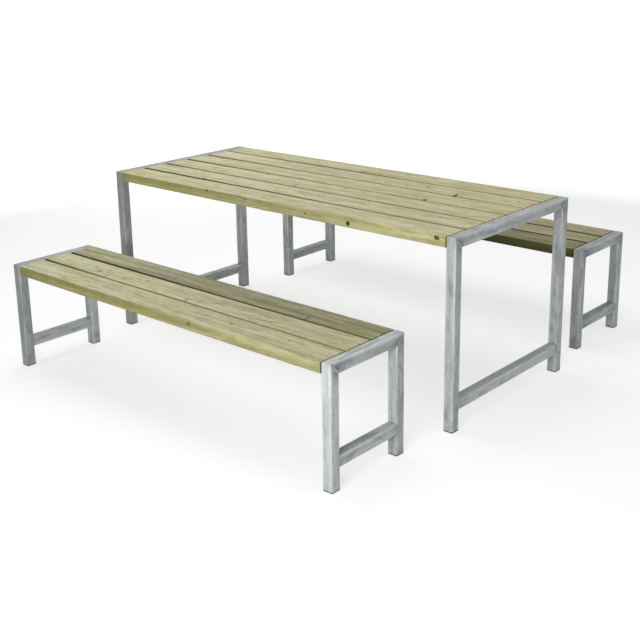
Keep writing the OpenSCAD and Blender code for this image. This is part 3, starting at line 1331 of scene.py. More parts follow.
@dataclass
class Tube:
    """A straight square tube along Y or Z, with an outer and an inner wall.

    Attributes:
        node: The CAD node that it stands for.
        along: Axis of the tube, 1 for Y and 2 for Z.
        cuts: The cuts at its low and its high end.
        outer: Which way the frame's outside lies, in the tube's section.
        lift_and_shade: Added to its brightness: its own zinc with painted light and shade.
        wall: Wall thickness.
        corner: Outer corner radius.
        inner_corner: Inner corner radius.
        ridge: Radius of the ground edge where a mitre turns the frame's corner.
        deburr: Radius of the edge of a square cut.
        step: Distance between rings along the tube.
        wave: How far the zinc's slow waves reach.
        heat: How much each cut's weld scorches the zinc.
        heat_reach: How far along the tube the scorch fades.
        shaded_heat: How much of the scorch the faces keep that don't look along the set.
        highlight_reach: How far the corner's painted highlight and wear fade into a face.
    """

    node: str
    along: int
    cuts: tuple[Cut, Cut]
    outer: tuple[float, float]
    lift_and_shade: float = 0.0
    wall: float = 2 * MM
    corner: float = 4 * MM
    inner_corner: float = 3 * MM
    ridge: float = 2.6 * MM
    deburr: float = 0.6 * MM
    step: float = 9 * MM
    wave: float = 0.05 * MM
    heat: dict[Cut, float] = field(default_factory=lambda: {Cut.MITRE: 1.0, Cut.BUTT: 0.4, Cut.SQUARE: 0.0})
    heat_reach: float = 26 * MM
    shaded_heat: float = 0.2
    highlight_reach: float = 3.5 * MM

    def __post_init__(self) -> None:
        """Takes the size from the frame."""
        self.rng = np.random.default_rng(seed_of(self.node))
        self.box = Box.of(self.node)
        self.across = [axis for axis in range(3) if axis != self.along]
        self.half = self.box.size[self.across] / 2

    def end_rows(self, cut: Cut, facing: np.ndarray) -> tuple[np.ndarray, np.ndarray]:
        """The rows of points at one end of the outer wall.

        Where a mitre turns the frame's outer corner, the corner is a quarter circle. At a distance s from
        the corner it lies R - sqrt(R^2 - (R - s)^2) inside the face, and the mitre plane cuts it where s is
        R (1 - 1 / sqrt 2). A square cut follows the whole quarter circle. A butted end runs straight.

        Args:
            cut: The end's cut.
            facing: For each column, how much it faces the frame's outside.

        Returns:
            The distance from the end and the depth inside the face, each as rows x columns, from far to near.
        """
        mitred = cut is Cut.MITRE
        radius = self.ridge if mitred else self.deburr
        share = np.clip(facing, 0, 1) if mitred else np.full(len(facing), float(cut is Cut.SQUARE))
        nearest = radius * (1 - math.sqrt(0.5)) * share * mitred
        turn = np.linspace(0, 1, 6)[:, None] ** 0.7
        distance = radius - (radius - nearest) * turn
        depth = share * (radius - np.sqrt(np.maximum(radius**2 - (radius - distance) ** 2, 0)))
        return distance, depth

    def reach(self, section: np.ndarray) -> list[np.ndarray]:
        """Where the columns of a wall start and stop along the tube.

        A mitred column ends as far from the tube's tip as it lies from the frame's outer face.

        Args:
            section: The wall's section.

        Returns:
            The start and the stop of each column.
        """
        outer = np.array(self.outer)
        back = self.half @ np.abs(outer) - section @ outer
        start, stop = (back if cut is Cut.MITRE else 0 * back for cut in self.cuts)
        return [self.box.low[self.along] + start, self.box.high[self.along] - stop]

    def skin(self) -> Skin:
        """Works out the tube's surface.

        The outer outline runs from one end to the other and the inner one runs back, so the cut faces close
        the wall. The zinc's slow waves lie inside the CAD's faces.

        Returns:
            The surface with its marks.
        """
        flat = np.array([0, 0.04, 0.15, 0.32, 0.5, 0.68, 0.85, 0.96, 1])
        outline = Outline.drawn([flat] * 4, arc=6)
        facing = outline.outward @ self.outer
        section = outline.at(self.half, self.corner)
        start, stop = self.reach(section)
        (near_low, deep_low), (near_high, deep_high) = (self.end_rows(cut, facing) for cut in self.cuts)
        first, last = start + near_low[:1], stop - near_high[:1]
        length = self.box.size[self.along]
        steps = np.linspace(0, 1, max(8, round(length / self.step)))[1:-1, None]
        along = np.concatenate([start + near_low[::-1], first + (last - first) * steps, stop - near_high])
        depth = np.concatenate([deep_low[::-1], np.zeros((len(steps), len(facing))), deep_high])
        turn = np.arctan2(outline.outward[:, 1], outline.outward[:, 0])
        wave = ripple(self.rng, along + 0.02 * np.sin(turn), (0.31, 0.13, 0.071))
        wave = wave * ripple(self.rng, turn, (math.pi, 2 * math.pi))
        depth = depth + self.wave * (1 + wave)
        outer_wall = section - depth[..., None] * outline.outward

        inner = outline.at(self.half - self.wall, self.inner_corner)
        inner_start, inner_stop = self.reach(inner)
        inner_along = inner_start + (inner_stop - inner_start) * np.linspace(1, 0, 8)[:, None]
        inner_wall = np.broadcast_to(inner, (*inner_along.shape, 2))

        run = np.concatenate([along, inner_along])
        wall = np.concatenate([outer_wall, inner_wall])
        rings = np.empty((*run.shape, 3))
        rings[..., self.along] = run
        rings[..., self.across] = self.box.middle[self.across] + wall
        ends = [
            np.concatenate([0 * along + end, 0 * inner_along + inner_end])
            for end, inner_end in ((start, inner_start), (stop, inner_stop))
        ]
        return Skin(rings, Ends.LOOP, self.marks(outline, run, wall, ends))

    def marks(
        self, outline: Outline, run: np.ndarray, wall: np.ndarray, ends: Sequence[np.ndarray]
    ) -> dict[str, np.ndarray]:
        """Marks the tube's place, scorched welds, which fade by exp(-s / r), corners and brightness.

        Args:
            outline: The outline of both walls.
            run: How far along the tube each point lies.
            wall: Where it lies in the tube's section.
            ends: For each end of the tube, where each point's column ends.

        Returns:
            The marks by name.
        """
        place = run[..., None] - self.box.low[self.along] + self.rng.uniform(0, 40)
        near = (
            self.heat[cut] * np.exp(-np.abs(run - end) / self.heat_reach) for end, cut in zip(ends, self.cuts)
        )
        outside = np.clip(outline.outward[:, 0] * np.sign(self.box.middle[0]), 0, 1)
        weld = np.maximum(*near) * (self.shaded_heat + (1 - self.shaded_heat) * outside)
        to_corner = (1 - np.abs(outline.middles).min(axis=1)) * (self.half[0] - self.corner)
        # The corner mark carries the painted highlight along the rounded corners.
        corner = np.broadcast_to(np.exp(-to_corner / self.highlight_reach), run.shape)
        lift_and_shade = np.full(run.shape, self.lift_and_shade + self.rng.uniform(-0.06, 0.06))
        local = np.concatenate([place, wall], axis=-1)
        return {"local": local, "tube": np.stack([weld, corner, lift_and_shade], axis=-1)}


class Seat(Enum):
    """What a weld bead lies on."""

    FACE = "a flat face, as a low crown"
    CORNER = "the corner between two faces, as a fillet"


@dataclass(frozen=True)
class Bead:
    """One weld bead.

    Attributes:
        place: The middle of its root.
        along: Direction of its run.
        side: First direction of its section, along the face.
        out: Second direction of its section, out of the face.
        length: Length of the run.
        seat: What it lies on.
        half_width: Half of a crown's width, or a fillet's leg.
        height: Height of a crown.
        root: How deep a crown's underside lies in the metal.
        pitch: Distance between the ripples.
        look: How scorched it is, how much rubbed wear and painted highlight it has, and how bright it is.
    """

    place: tuple[float, float, float]
    along: tuple[float, float, float]
    side: tuple[float, float, float]
    out: tuple[float, float, float]
    length: float
    seat: Seat
    half_width: float = 5 * MM
    height: float = 1.16 * MM
    root: float = 0.3 * MM
    pitch: float = 2.6 * MM
    look: tuple[float, float, float] = (0.35, 0.2, 0.05)

    def skin(self, rng: np.random.Generator) -> Skin:
        """Works out the bead's surface.

        A crown's section is the parabola h (1 - (p / w)^2), and a fillet's is a quarter circle. Ripples
        bent like the front of the weld pool cut up to two fifths off the height, and both ends taper off.

        Args:
            rng: Source of the uneven ripples.

        Returns:
            The surface with its marks.
        """
        run = np.linspace(-1, 1, max(30, round(self.length / (0.9 * MM))))[:, None]
        taper = np.sqrt(np.maximum(1 - np.abs(run) ** 4, 0.02))
        sweep = math.pi if self.seat is Seat.FACE else math.pi / 2
        turn = np.linspace(0, sweep, 11)[None, :]
        distance = run * self.length / 2
        bow = np.sin(turn * math.pi / sweep) * 1.4 * MM
        uneven = ripple(rng, distance, (0.017, 0.0071)) * 0.5 * MM
        crest = 0.5 + 0.5 * np.cos(2 * math.pi * (distance + uneven - bow) / self.pitch)
        lowered = 1 - 0.4 * (1 - crest)
        half, root = self.half_width, -self.root
        if self.seat is Seat.FACE:
            side = half * np.cos(turn) * (0.3 + 0.7 * taper) * (0.92 + 0.08 * crest)
            out = self.height * np.sin(turn) ** 2 * taper * lowered
            under = np.array([[-half / 2, root], [0, root], [half / 2, root]])
        else:
            side = half * np.cos(turn) * taper * lowered
            out = half * np.sin(turn) * taper * lowered
            under = np.array([[root, half / 2], [root, root], [half / 2, root]])
        arc = np.stack([side, out], axis=-1)
        section = np.concatenate([arc, np.broadcast_to(under, (len(run), *under.shape))], axis=1)
        rings = self.place + distance[..., None] * self.along + section @ np.array([self.side, self.out])
        along = np.broadcast_to(distance + rng.uniform(0, 40), section.shape[:2])[..., None]
        local = np.concatenate([along, section], axis=-1)
        return Skin(rings, Ends.POLES, {"local": local, "tube": np.broadcast_to(self.look, local.shape)})


@dataclass(frozen=True)
class Foot:
    """A plastic foot: a pad under the leg and a hollow plug with two lips inside it.

    Attributes:
        half: Half of the pad's width.
        pad: Thickness of the pad.
        plug_depth: Height of the plug.
        plug_wall: Wall thickness of the plug.
        tube_wall: Wall thickness of the leg.
        play: Gap between the plug and the leg's inner face.
        lip: Height of a lip.
        corner: Corner radius of the pad.
        easing: Radius round the pad's lower edge.
        bevel: Radius or bevel of the other edges.
    """

    half: float
    pad: float = 4 * MM
    plug_depth: float = 16 * MM
    plug_wall: float = 2 * MM
    tube_wall: float = 2 * MM
    play: float = 0.4 * MM
    lip: float = 1.5 * MM
    corner: float = 4 * MM
    easing: float = 1.2 * MM
    bevel: float = 0.4 * MM

    def skin(self) -> Skin:
        """Works out the foot's surface, a square lathe where each row of the profile has its own half size.

        The profile starts in the middle of the pad's underside, rounds the pad's edges, climbs the plug
        with its two lips, and goes down inside the plug to the middle of its floor.

        Returns:
            The surface with its marks.
        """
        bore = self.half - self.tube_wall
        plug = bore - self.play
        inside = plug - self.plug_wall
        top = self.pad + self.plug_depth
        bevel = self.bevel
        turn = np.linspace(0, math.pi / 2, 5)
        curve = np.stack([1 - np.sin(turn), 1 - np.cos(turn)], axis=-1)
        lower = np.array([self.half, 0]) + self.easing * curve * [-1, 1]
        upper = np.array([self.half, self.pad]) - bevel * curve[:, ::-1]
        lips = [
            [[plug, z - 0.1 * MM], [bore, z + 0.3 * MM], [bore, z + self.lip * 0.6], [plug, z + self.lip]]
            for z in self.pad + self.plug_depth * np.array([1, 2]) / 3
        ]
        profile = np.concatenate([
            np.linspace(0.1, 0.9, 5)[:, None] * [lower[0, 0], 0],
            lower,
            upper,
            [[plug, self.pad]],
            *lips,
            [[plug, top - bevel], [plug - bevel, top], [inside + bevel, top], [inside, top - bevel]],
            [[inside, self.pad + 0.6 * MM], [inside - 0.6 * MM, self.pad]],
            np.linspace(0.85, 0.1, 4)[:, None] * [inside, 0] + [0, self.pad],
        ])
        outline = Outline.drawn([np.linspace(0, 1, 4)] * 4, arc=5)
        half = profile[:, None, :1]
        section = outline.at(half, np.minimum(self.corner, 0.45 * half))
        height = np.broadcast_to(profile[:, None, 1:], (*section.shape[:2], 1))
        rim = np.exp(-(((profile[:, 1] - 0.5 * MM) / MM) ** 2)) * (profile[:, 0] > 0.9 * self.half)
        tube = np.zeros((*section.shape[:2], 3))
        tube[..., 1] = rim[:, None]
        return Skin(np.concatenate([section, height], axis=-1), Ends.POLES, {"tube": tube})


@dataclass(frozen=True)
class Screw:
    """A hexagon flange screw that points up, with the origin under its flange.

    Attributes:
        shank: Radius over the thread.
        length: Length below the flange.
        flats: Width across the head's flats.
        head: Height of the hexagon.
        flange: Radius of the flange.
        flange_height: Thickness of the flange.
        pitch: Pitch of the thread.
        sides: Number of points round the screw.
    """

    shank: float = 3 * MM
    length: float = 35 * MM
    flats: float = 10 * MM
    head: float = 4 * MM
    flange: float = 7 * MM
    flange_height: float = 1.2 * MM
    pitch: float = 3 * MM
    sides: int = 24

    def skin(self) -> Skin:
        """Works out the screw's surface, turned on a lathe from rows of radius and height.

        In the head's rows the radius is the smaller of the row's own, which gives the chamfer, and the
        hexagon's (f / 2) / cos(a), where a is the angle from the nearest flat's middle. In the thread's
        rows it falls from the shank's radius by a saw tooth of z / pitch minus the angle's share of a turn.

        Returns:
            The surface.
        """
        turn = np.linspace(0, 2 * math.pi, self.sides, endpoint=False)
        sixth = math.pi / 3
        hexagon = self.flats / 2 / np.cos((turn + sixth / 2) % sixth - sixth / 2)
        chamfer = np.array([[1.5, 0.25], [3.2, 0.2], [3.9, 0], [4.7, 0], [5.3, 0.35], [6, 0.75]]) * MM
        head = np.concatenate([chamfer, [[6 * MM, self.head]]]) - [0, self.flange_height + self.head]
        rim = np.array([[0.7, -1.15], [0.1, -0.85], [0, -0.45], [0, 0]]) * MM
        flange = np.array([self.flange, 0]) + rim * [-1, 1]
        climb = np.linspace(0.2 * MM, self.length - 0.2 * MM, 48)[:, None]
        tooth = np.abs(2 * ((climb / self.pitch - turn / (2 * math.pi)) % 1) - 1)
        point = np.clip((self.length - climb) / (2 * self.shank), 0.12, 1)
        thread = self.shank * point * (1 - 0.24 * (1 - tooth) * (climb > 2 * MM))
        flange_rows = np.broadcast_to(flange[:, :1], (len(flange), self.sides))
        radius = np.concatenate([np.minimum(head[:, :1], hexagon), flange_rows, thread])
        height = np.concatenate([head[:, 1:], flange[:, 1:], climb]) * np.ones(self.sides)
        return Skin(np.stack([radius * np.cos(turn), radius * np.sin(turn), height], axis=-1))


# Sub-assemblies

@dataclass
class Item:
    """The table or one of the benches: planks between two welded end frames.

    Attributes:
        name: Start of the item's node names, and its body.
        planks: Its planks, from the front.
        lifts_and_shades: How bright the zinc of some tubes is made, by the end of their node names, as
            painted light and shade.
        ledge: Leg of the angle under the plank ends.
        ledge_thickness: Thickness of that angle.
        bar_thickness: Thickness of the flat bar under the planks' middle.
        screw_spread: Distance between the two screws of a plank end.
        fillet: Leg of the fillet beads.
        short: How much shorter than the tube's width a bead is.
    """

    name: str
    planks: list[Plank]
    lifts_and_shades: dict[str, float] = field(default_factory=dict)
    ledge: float = 30 * MM
    ledge_thickness: float = 3 * MM
    bar_thickness: float = 5 * MM
    screw_spread: float = 60 * MM
    fillet: float = 4 * MM
    short: float = 8 * MM

    def box(self, part: str) -> Box:
        """The box of one of the item's own nodes."""
        return Box.of(f"{self.name}_{part}")

    def tubes(self) -> list[Tube]:
        """Lists the four legs, two top rails and two stretchers.

        Returns:
            The tubes of the right frame and then of the left one.
        """
        upright, across = 2, 1
        wanted = []
        for side in ("right", "left"):
            wanted += [
                (f"leg_front_{side}", upright, (Cut.SQUARE, Cut.MITRE), (0.0, -1.0)),
                (f"leg_rear_{side}", upright, (Cut.SQUARE, Cut.MITRE), (0.0, 1.0)),
                (f"top_rail_{side}", across, (Cut.MITRE, Cut.MITRE), (0.0, 1.0)),
                (f"stretcher_{side}", across, (Cut.BUTT, Cut.BUTT), (0.0, 1.0)),
            ]
        return [Tube(f"{self.name}_{part}", *how, self.lifts_and_shades.get(part, 0.0)) for part, *how in wanted]

    def beads(self) -> list[Bead]:
        """Lists the beads of both frames: along each mitre, up each stretcher seam and in the inner corners.

        Returns:
            The beads.
        """
        slope = math.sqrt(0.5)
        made = []
        for side, sign in (("right", 1), ("left", -1)):
            rail, stretcher = self.box(f"top_rail_{side}"), self.box(f"stretcher_{side}")
            size = rail.size[2]
            run = size - self.short
            outer, outward = rail.face(0, sign), (sign, 0, 0)
            for end in (-1, 1):
                edge = rail.face(1, end)
                corner = edge - end * size
                mitre = (outer, edge - end * size / 2, rail.middle[2])
                seam = (outer, corner, stretcher.middle[2])
                climb = end * slope
                made += [
                    Bead(mitre, (0, climb, slope), (0, -climb, slope), outward, run / slope, Seat.FACE),
                    Bead(seam, (0, 0, 1), (0, 1, 0), outward, run, Seat.FACE, root=3 * MM),
                ]
                for z, up in ((rail.low[2], -1), (stretcher.low[2], -1), (stretcher.high[2], 1)):
                    inner = (rail.middle[0], corner, z)
                    made.append(
                        Bead(inner, (1, 0, 0), (0, -end, 0), (0, 0, up), run, Seat.CORNER, self.fillet)
                    )
        return made

    def feet(self) -> list[Skin]:
        """The surfaces of the four feet."""
        legs = [self.box(f"leg_{end}_{side}") for side in ("right", "left") for end in ("front", "rear")]
        return [Foot(leg.size[0] / 2).skin().moved((*leg.middle[:2], 0)) for leg in legs]

    def screws(self) -> list[Skin]:
        """Places the screws: two at each plank end and one in each plank at the flat bar.

        Returns:
            Their surfaces.
        """
        skin = Screw().skin()
        placed = []
        for plank in self.planks:
            (x, y, _), underside = plank.box.middle, plank.box.low[2]
            reach = self.box("top_rail_right").low[0] - x - (self.ledge + self.ledge_thickness) / 2
            for end in (-reach, reach):
                for across in (-self.screw_spread / 2, self.screw_spread / 2):
                    placed.append(skin.moved((x + end, y + across, underside - self.ledge_thickness)))
            placed.append(skin.moved((x, y, underside - self.bar_thickness)))
        return placed

    def finish_bars(self, plated: Coat, nodes: dict[str, bpy.types.Object]) -> None:
        """Gives the angles and the flat bar, which stay as the CAD has them, eased edges and their finish.

        Args:
            plated: Their finish.
            nodes: The frame's CAD nodes.
        """
        for part in ("plank_ledge_right", "plank_ledge_left", "tie_bar"):
            bar = nodes[f"{self.name}_{part}"]
            bar.data.materials.clear()
            bar.data.materials.append(plated.material)
            weld = bar.modifiers.new("joined_corners", "WELD")
            weld.merge_threshold = 0.01 * MM
            easing = bar.modifiers.new("eased_edges", "BEVEL")
            easing.width = 0.5 * MM
            easing.segments = 2
            easing.limit_method = "ANGLE"
            easing.angle_limit = math.radians(40)
            log.info("%s_%s: kept from the frame, rides on %s", self.name, part, self.name)

    def make(self, finishes: Finishes, nodes: dict[str, bpy.types.Object]) -> None:
        """Builds the whole item.

        Args:
            finishes: The built finishes.
            nodes: The frame's CAD nodes.
        """
        beads, feet, screws = (f"{self.name}_{part}" for part in ("weld_beads", "feet", "screws"))
        rng = np.random.default_rng(seed_of(beads))
        pieces = [
            *((plank.node, "timber", [plank.skin()], finishes.pine) for plank in self.planks),
            *((tube.node, "tube", [tube.skin()], finishes.galvanised) for tube in self.tubes()),
            (beads, "run", [bead.skin(rng) for bead in self.beads()], finishes.galvanised),
            (feet, "moulded", self.feet(), finishes.plastic),
            (screws, "turned", self.screws(), finishes.plated),
        ]
        for node, form, skins, coat in pieces:
            dress(make_object(f"{node}_{form}", skins), self.name, coat.slot, coat.material, node)
        self.finish_bars(finishes.plated, nodes)


def seed_of(name: str) -> int:
    """A number from a piece's name, the same each time: its letters' codes weighted by their places."""
    return sum((place + 1) * ord(letter) for place, letter in enumerate(name))


# Places of the knots and cracks, from each plank's middle: TOP is its upper face and EDGE its front one
TOP = 20 * MM
EDGE = -60 * MM

TABLE_KNOTS = {
    1: (
        Knot((0.439, EDGE, -0.004), 7.5 * MM, 1.0, 1.15, (0.434, 0.01, -0.008)),
        Knot((0.835, EDGE, 0.009), 7 * MM, 0.8, 1.5, (0.83, 0.01, 0.002)),
        Knot((0.227, EDGE, 0.001), 4 * MM, 0.2, 1.5, (0.225, 0.01, -0.004)),
        Knot((-0.318, EDGE, 0.014), 3.2 * MM, 0.9, 2.2, (-0.322, 0.01, 0.008)),
        Knot((-0.097, EDGE, 0.009), 4 * MM, 0.1, 1.8, (-0.1, 0.01, 0.0)),
    ),
    2: (
        Knot((-0.483, -0.055, TOP), 8.5 * MM, 0.95),
        Knot((0.706, 0.016, TOP), 5 * MM, 0.3),
    ),
    3: (
        Knot((-0.324, 0.056, TOP), 7 * MM, 1.0),
        Knot((-0.085, -0.030, TOP), 2.6 * MM, 0.3, 1.0, (-0.135, 0.055, 0.012)),
        Knot((0.122, 0.041, TOP), 4 * MM, 0.3),
        Knot((-0.611, 0.005, TOP), 2.8 * MM, 0.35, 1.0, (-0.640, 0.065, 0.012)),
    ),
    4: (
        Knot((0.498, -0.054, TOP), 7.5 * MM, 1.0),
        Knot((0.297, 0.016, TOP), 5 * MM, 0.3),
        Knot((-0.015, 0.056, TOP), 5 * MM, 0.45),
    ),
    5: (
        Knot((0.551, -0.055, TOP), 7 * MM, 0.95),
        Knot((-0.435, 0.029, TOP), 5 * MM, 0.35),
        Knot((0.377, 0.005, TOP), 5 * MM, 0.4),
    ),
    6: (Knot((-0.030, -0.050, TOP), 3 * MM, 0.4, 1.0, (0.030, 0.040, 0.010)),),
}
FRONT_KNOTS = {
    1: (
        Knot((0.353, 0.009, TOP), 6 * MM, 0.2),
        Knot((0.619, 0.016, TOP), 5 * MM, 0.25),
        Knot((0.21, EDGE, 0.006), 4.5 * MM, 0.4, 1.8, (0.205, 0.01, 0.0)),
    ),
    2: (
        Knot((0.046, -0.055, TOP), 2.8 * MM, 0.4, 1.0, (0.010, 0.030, 0.012)),
        Knot((-0.342, -0.025, TOP), 6 * MM, 0.25),
        Knot((-0.250, 0.020, TOP), 5 * MM, 0.25),
        Knot((-0.428, -0.045, TOP), 3 * MM, 0.35, 1.0, (-0.425, 0.010, 0.012)),
        Knot((-0.502, -0.023, TOP), 7 * MM, 0.3, 1.6),
    ),
    3: (
        Knot((-0.190, -0.020, TOP), 5 * MM, 0.2),
        Knot((-0.525, -0.045, TOP), 3 * MM, 0.4, 1.0, (-0.485, 0.0, 0.012)),
    ),
}
REAR_KNOTS = {2: (Knot((0.30, 0.02, TOP), 7 * MM, 0.6),)}
FRONT_CHECKS = {
    1: (Check(-0.7, -0.35, 0.02),),
    2: (
        Check(0.05, 0.18, -0.006, 0.15, 4 * MM),
        Check(0.3, 0.39, -0.019, 0.16, 4.5 * MM),
        Check(0.34, 0.49, -0.025, 0.22, 6.5 * MM, 2.5 * MM),
        Check(0.6, 0.76, 0.037, 0.08, 4.5 * MM),
    ),
    3: (Check(0.2, 0.5, 0.0),),
}


def table() -> Item:
    """Describes the table. The gaps between its six planks are darkest at the left end, with soiling and
    painted shade.

    Returns:
        The table.
    """
    # How dark each plank side is made, from the front: soiling with painted shade, darkest at the left end,
    # where the light is weakest.
    dirt_and_shade_by_side = (
        (0.0,),
        (1.0, 1.0, 0.7, 0.3, 0.25),
        (1.0, 0.25, 0.2, 0.4, 0.0),
        (1.0, 0.6, 0.0, 0.0, 0.0),
        (1.0, 0.5, 0.0, 0.3, 0.0),
        (0.3, 0.6, 0.7, 0.1, 0.3),
        (0.0,),
    )
    planks = [
        Plank(
            f"table_plank_{i}",
            100 + i,
            # Lightness along the plank: its own, with painted shade in the middle and painted light at the
            # right end.
            (tone_and_shade - 0.025, tone_and_shade - 0.075, tone_and_shade + 0.09),
            # Front side paler towards the right end: painted light with bleaching.
            sun=(0.0, 0.38, 0.48) if i == 1 else (0.0,),
            grime_and_shade=dirt_and_shade_by_side[i - 1],
            rear_grime=dirt_and_shade_by_side[i],
            knots=TABLE_KNOTS[i],
            checks=(Check(-0.2 + 0.1 * i, 0.1 + 0.1 * i, 0.02),),
        )
        for i, tone_and_shade in enumerate((0.0, -0.02, -0.01, 0.01, 0.0, 0.0), start=1)
    ]
    # Painted light and shade per tube: darker towards the left end, lighter at the right stretcher and rear
    # leg.
    lifts_and_shades = {
        "top_rail_left": -0.8,
        "top_rail_right": -0.1,
        "leg_front_left": -0.5,
        "leg_rear_right": 0.15,
        "stretcher_right": 0.6,
    }
    return Item("table", planks, lifts_and_shades)


def front_bench() -> Item:
    """Describes the front bench, with a darker plank nearest the table.

    Returns:
        The front bench.
    """
    # Lightness of each plank from left to right: its own, with painted shade towards the right end; plank 3
    # is darkest.
    tones_and_shades = ((0.02, -0.05, -0.16, -0.155), (0.005, -0.075, -0.23, -0.12), (-0.2, -0.45, -0.52, -0.42))
    # How dark each plank side is made, from the front: soiling with painted shade in the gaps.
    dirt_and_shade_by_side = ((0.0,), (1.0, 0.3, 0.35, 0.15, 0.0), (1.0, 1.0, 0.75, 0.45, 0.6), (0.0, 0.6, 0.9, 0.9))
    planks = [
        Plank(
            f"front_bench_plank_{i}",
            200 + i,
            tones_and_shades[i - 1],
            0.55 if i == 3 else 0.0,
            # Front side paler towards the right end: painted light with bleaching.
            sun=(0.0, 0.17, 0.6) if i == 1 else (0.0,),
            grime_and_shade=dirt_and_shade_by_side[i - 1],
            rear_grime=dirt_and_shade_by_side[i],
            knots=FRONT_KNOTS[i],
            checks=FRONT_CHECKS[i],
        )
        for i in (1, 2, 3)
    ]
    # Painted light and shade per tube: lighter at the right front leg and stretcher, darker at the left.
    lifts_and_shades = {"leg_front_right": 0.15, "leg_front_left": -0.35, "top_rail_left": -0.3, "stretcher_right": 0.2}
    return Item("front_bench", planks, lifts_and_shades)


def rear_bench() -> Item:
    """Describes the rear bench, painted a little darker throughout and darkest under the table, as painted
    shade.

    Returns:
        The rear bench.
    """
    # How dark each plank side is made, from the front: the front side of plank 1 carries the table's painted
    # shadow, the others soiling with painted shade.
    dirt_and_shade_by_side = ((0.82, 0.82, 0.82, 0.8, 0.5), (0.9,), (0.9,), (0.0,))
    planks = [
        Plank(
            f"rear_bench_plank_{i}",
            300 + i,
            (tone_and_shade,),
            0.5,
            grime_and_shade=dirt_and_shade_by_side[i - 1],
            rear_grime=dirt_and_shade_by_side[i],
            knots=REAR_KNOTS.get(i, ()),
            checks=(Check(-0.3, 0.1, 0.0),),
            rear_share=1.0,
        )
        # Lightness of each plank: painted shade under the table, darkest on the front plank.
        for i, tone_and_shade in enumerate((-0.46, -0.17, -0.16), start=1)
    ]
    # Painted shade: the right top rail is a little darker.
    return Item("rear_bench", planks, {"top_rail_right": -0.15})


# Studio

@dataclass(frozen=True)
class PhotoCamera:
    """The camera, where the photographer stood.

    Attributes:
        place: Its place.
        azimuth: Degrees round the set from the front, towards the right end.
        elevation: Degrees above the level.
        roll: Degrees of roll.
        focal: Focal length in pixels of the square picture.
        picture: Width of the picture in pixels.
        shift: Vertical shift, as a share of the picture.
    """

    place: tuple[float, float, float] = (2.8622, -3.2738, 1.6777)
    azimuth: float = 41.648
    elevation: float = 15.661
    roll: float = -0.895
    focal: float = 1061.6
    picture: float = 640.0
    shift: float = -0.12

    def make(self) -> None:
        """Makes the camera and lets the scene look through it."""
        data = bpy.data.cameras.new("photo_camera")
        data.lens = self.focal / self.picture * data.sensor_width
        data.shift_y = self.shift
        camera = add_object("photo_camera", data)
        azimuth, elevation, roll = map(math.radians, (self.azimuth, self.elevation, self.roll))
        level = Vector((math.cos(azimuth), math.sin(azimuth), 0))
        outward = Vector((math.sin(azimuth), -math.cos(azimuth), 0))
        back = outward * math.cos(elevation) + Vector((0, 0, math.sin(elevation)))
        upright = back.cross(level)
        right = level * math.cos(roll) + upright * math.sin(roll)
        up = upright * math.cos(roll) - level * math.sin(roll)
        turned = Matrix((right, up, back)).transposed().to_4x4()
        camera.matrix_world = Matrix.Translation(Vector(self.place)) @ turned
        bpy.context.scene.camera = camera


@dataclass(frozen=True)
class Softbox:
    """A large soft lamp that looks at a point.

    Attributes:
        name: Its name.
        place: Its place.
        target: The point.
        size: Its width and height.
        power: Its power in watts.
    """

    name: str
    place: tuple[float, float, float]
    target: tuple[float, float, float]
    size: tuple[float, float]
    power: float

    def make(self) -> None:
        """Makes the lamp."""
        data = bpy.data.lights.new(self.name, "AREA")
        data.shape = "RECTANGLE"
        data.size, data.size_y = self.size
        data.energy = self.power
        lamp = add_object(self.name, data)
        aim = Vector(self.target) - Vector(self.place)
        lamp.rotation_mode = "QUATERNION"
        lamp.rotation_quaternion = aim.to_track_quat("-Z", "Y")
        lamp.location = self.place


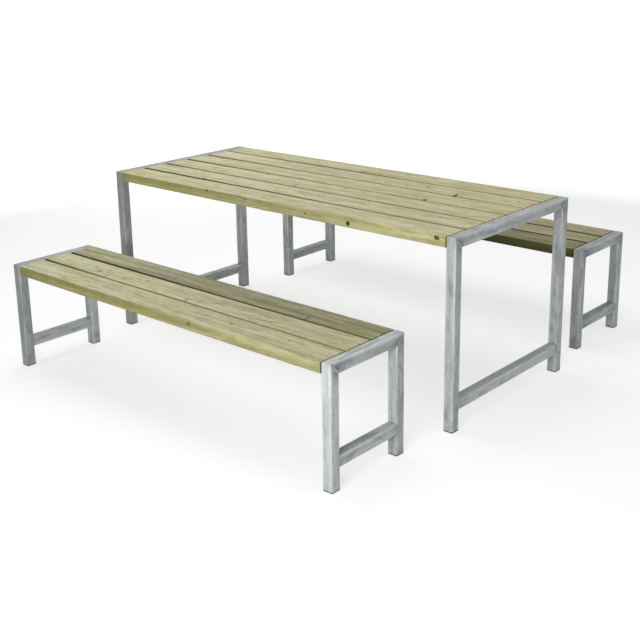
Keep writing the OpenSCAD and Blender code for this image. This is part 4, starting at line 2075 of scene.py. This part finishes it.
@dataclass(frozen=True)
class Studio:
    """A wide pale floor, a pale surround and soft light from above and from the front.

    Attributes:
        reach: Half of the floor's width.
        floor: The floor's colour, by direct sight.
        bounce: Its colour in the light that it throws back.
        own_light: How much of the floor near the set shines by itself, so that shadows on it stay faint.
        near: Where the floor starts to shine more.
        far: Where it shines wholly.
        whiteness: How bright it shines to the camera.
        sky: Strength of the surround's light.
        mirrored: Its strength in reflections.
        boxes: The lamps.
    """

    reach: float = 60.0
    floor: Colour = (247, 247, 247)
    bounce: Colour = (150, 150, 150)
    own_light: float = 0.55
    near: float = 1.9
    far: float = 4.2
    whiteness: float = 1.24
    sky: float = 0.23
    mirrored: float = 0.48
    boxes: tuple[Softbox, ...] = (
        Softbox("key_softbox", (1.45, -2.9, 1.05), (0.3, -0.5, 0.5), (1.2, 0.9), 49.0),
        Softbox("side_softbox", (3.3, 1.2, 0.9), (0.9, 0.3, 0.4), (1.4, 1.0), 12.5),
        Softbox("back_softbox", (-3.2, 2.0, 0.6), (-0.4, 0.2, 0.45), (1.6, 0.8), 14.0),
        Softbox("top_softbox", (-0.7, -0.1, 3.1), (-0.05, 0.0, 0.4), (2.4, 2.0), 52.0),
    )

    def make_floor(self) -> None:
        """Makes the floor: a large flat square whose colour is plain to the eye and greyer to bounced light.

        From below, the camera looks through it.
        """
        corners = np.array([[-1, -1, 0], [1, -1, 0], [1, 1, 0], [-1, 1, 0]], float) * self.reach
        mesh = bpy.data.meshes.new("studio_floor")
        mesh.from_pydata(corners.tolist(), [], [(0, 1, 2, 3)])
        floor = add_object("studio_floor", mesh)
        material = bpy.data.materials.new("pale_floor")
        mesh.materials.append(material)
        wiring = Wiring(emptied(material))
        ray = wiring.add("ShaderNodeLightPath").outputs
        away = wiring.add("ShaderNodeVectorMath", wiring.place(), settings={"operation": "LENGTH"})
        shining = wiring.spread(away.outputs["Value"], self.near, self.far)
        shining = wiring.math("MAXIMUM", shining, self.own_light)
        shining = wiring.times(shining, wiring.math("SUBTRACT", 1.0, ray["Is Diffuse Ray"]))
        colour = wiring.mix(ray["Is Diffuse Ray"], linear(self.floor), linear(self.bounce))
        matt = wiring.add("ShaderNodeBsdfDiffuse", Color=colour)
        strength = wiring.between(ray["Is Camera Ray"], 1.0, self.whiteness)
        bright = wiring.add("ShaderNodeEmission", Color=(1, 1, 1, 1), Strength=strength)
        mixed = wiring.add("ShaderNodeMixShader", shining, matt.outputs[0], bright.outputs[0])
        below = wiring.times(wiring.add("ShaderNodeNewGeometry").outputs["Backfacing"], ray["Is Camera Ray"])
        clear = wiring.add("ShaderNodeBsdfTransparent")
        surface = wiring.add("ShaderNodeMixShader", below, mixed.outputs[0], clear.outputs[0])
        wiring.add("ShaderNodeOutputMaterial", Surface=surface.outputs[0])

    def make_surround(self) -> None:
        """Makes the surround: white to the eye, softer in reflections, and an even light on the object."""
        world = bpy.data.worlds.new("pale_surround")
        bpy.context.scene.world = world
        wiring = Wiring(emptied(world))
        ray = wiring.add("ShaderNodeLightPath").outputs
        seen = wiring.math("MAXIMUM", ray["Is Camera Ray"], ray["Is Transmission Ray"])
        strength = wiring.between(seen, wiring.between(ray["Is Glossy Ray"], self.sky, self.mirrored), 1.0)
        light = wiring.add("ShaderNodeBackground", Color=(1, 1, 1, 1), Strength=strength)
        wiring.add("ShaderNodeOutputWorld", Surface=light.outputs[0])

    def make(self) -> None:
        """Makes the floor, the surround and the lamps, and sets the plain view."""
        self.make_floor()
        self.make_surround()
        for box in self.boxes:
            box.make()
        bpy.context.scene.view_settings.view_transform = "Standard"


def main() -> None:
    """Builds the set round the frame, dresses it and lights it."""
    logging.basicConfig(level=logging.INFO, format="%(message)s", stream=sys.stdout)
    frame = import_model()
    PhotoCamera().make()
    Studio().make()
    finishes = Finishes.built()
    for item in (table(), front_bench(), rear_bench()):
        item.make(finishes, frame["nodes"])


if __name__ == "__main__":
    main()
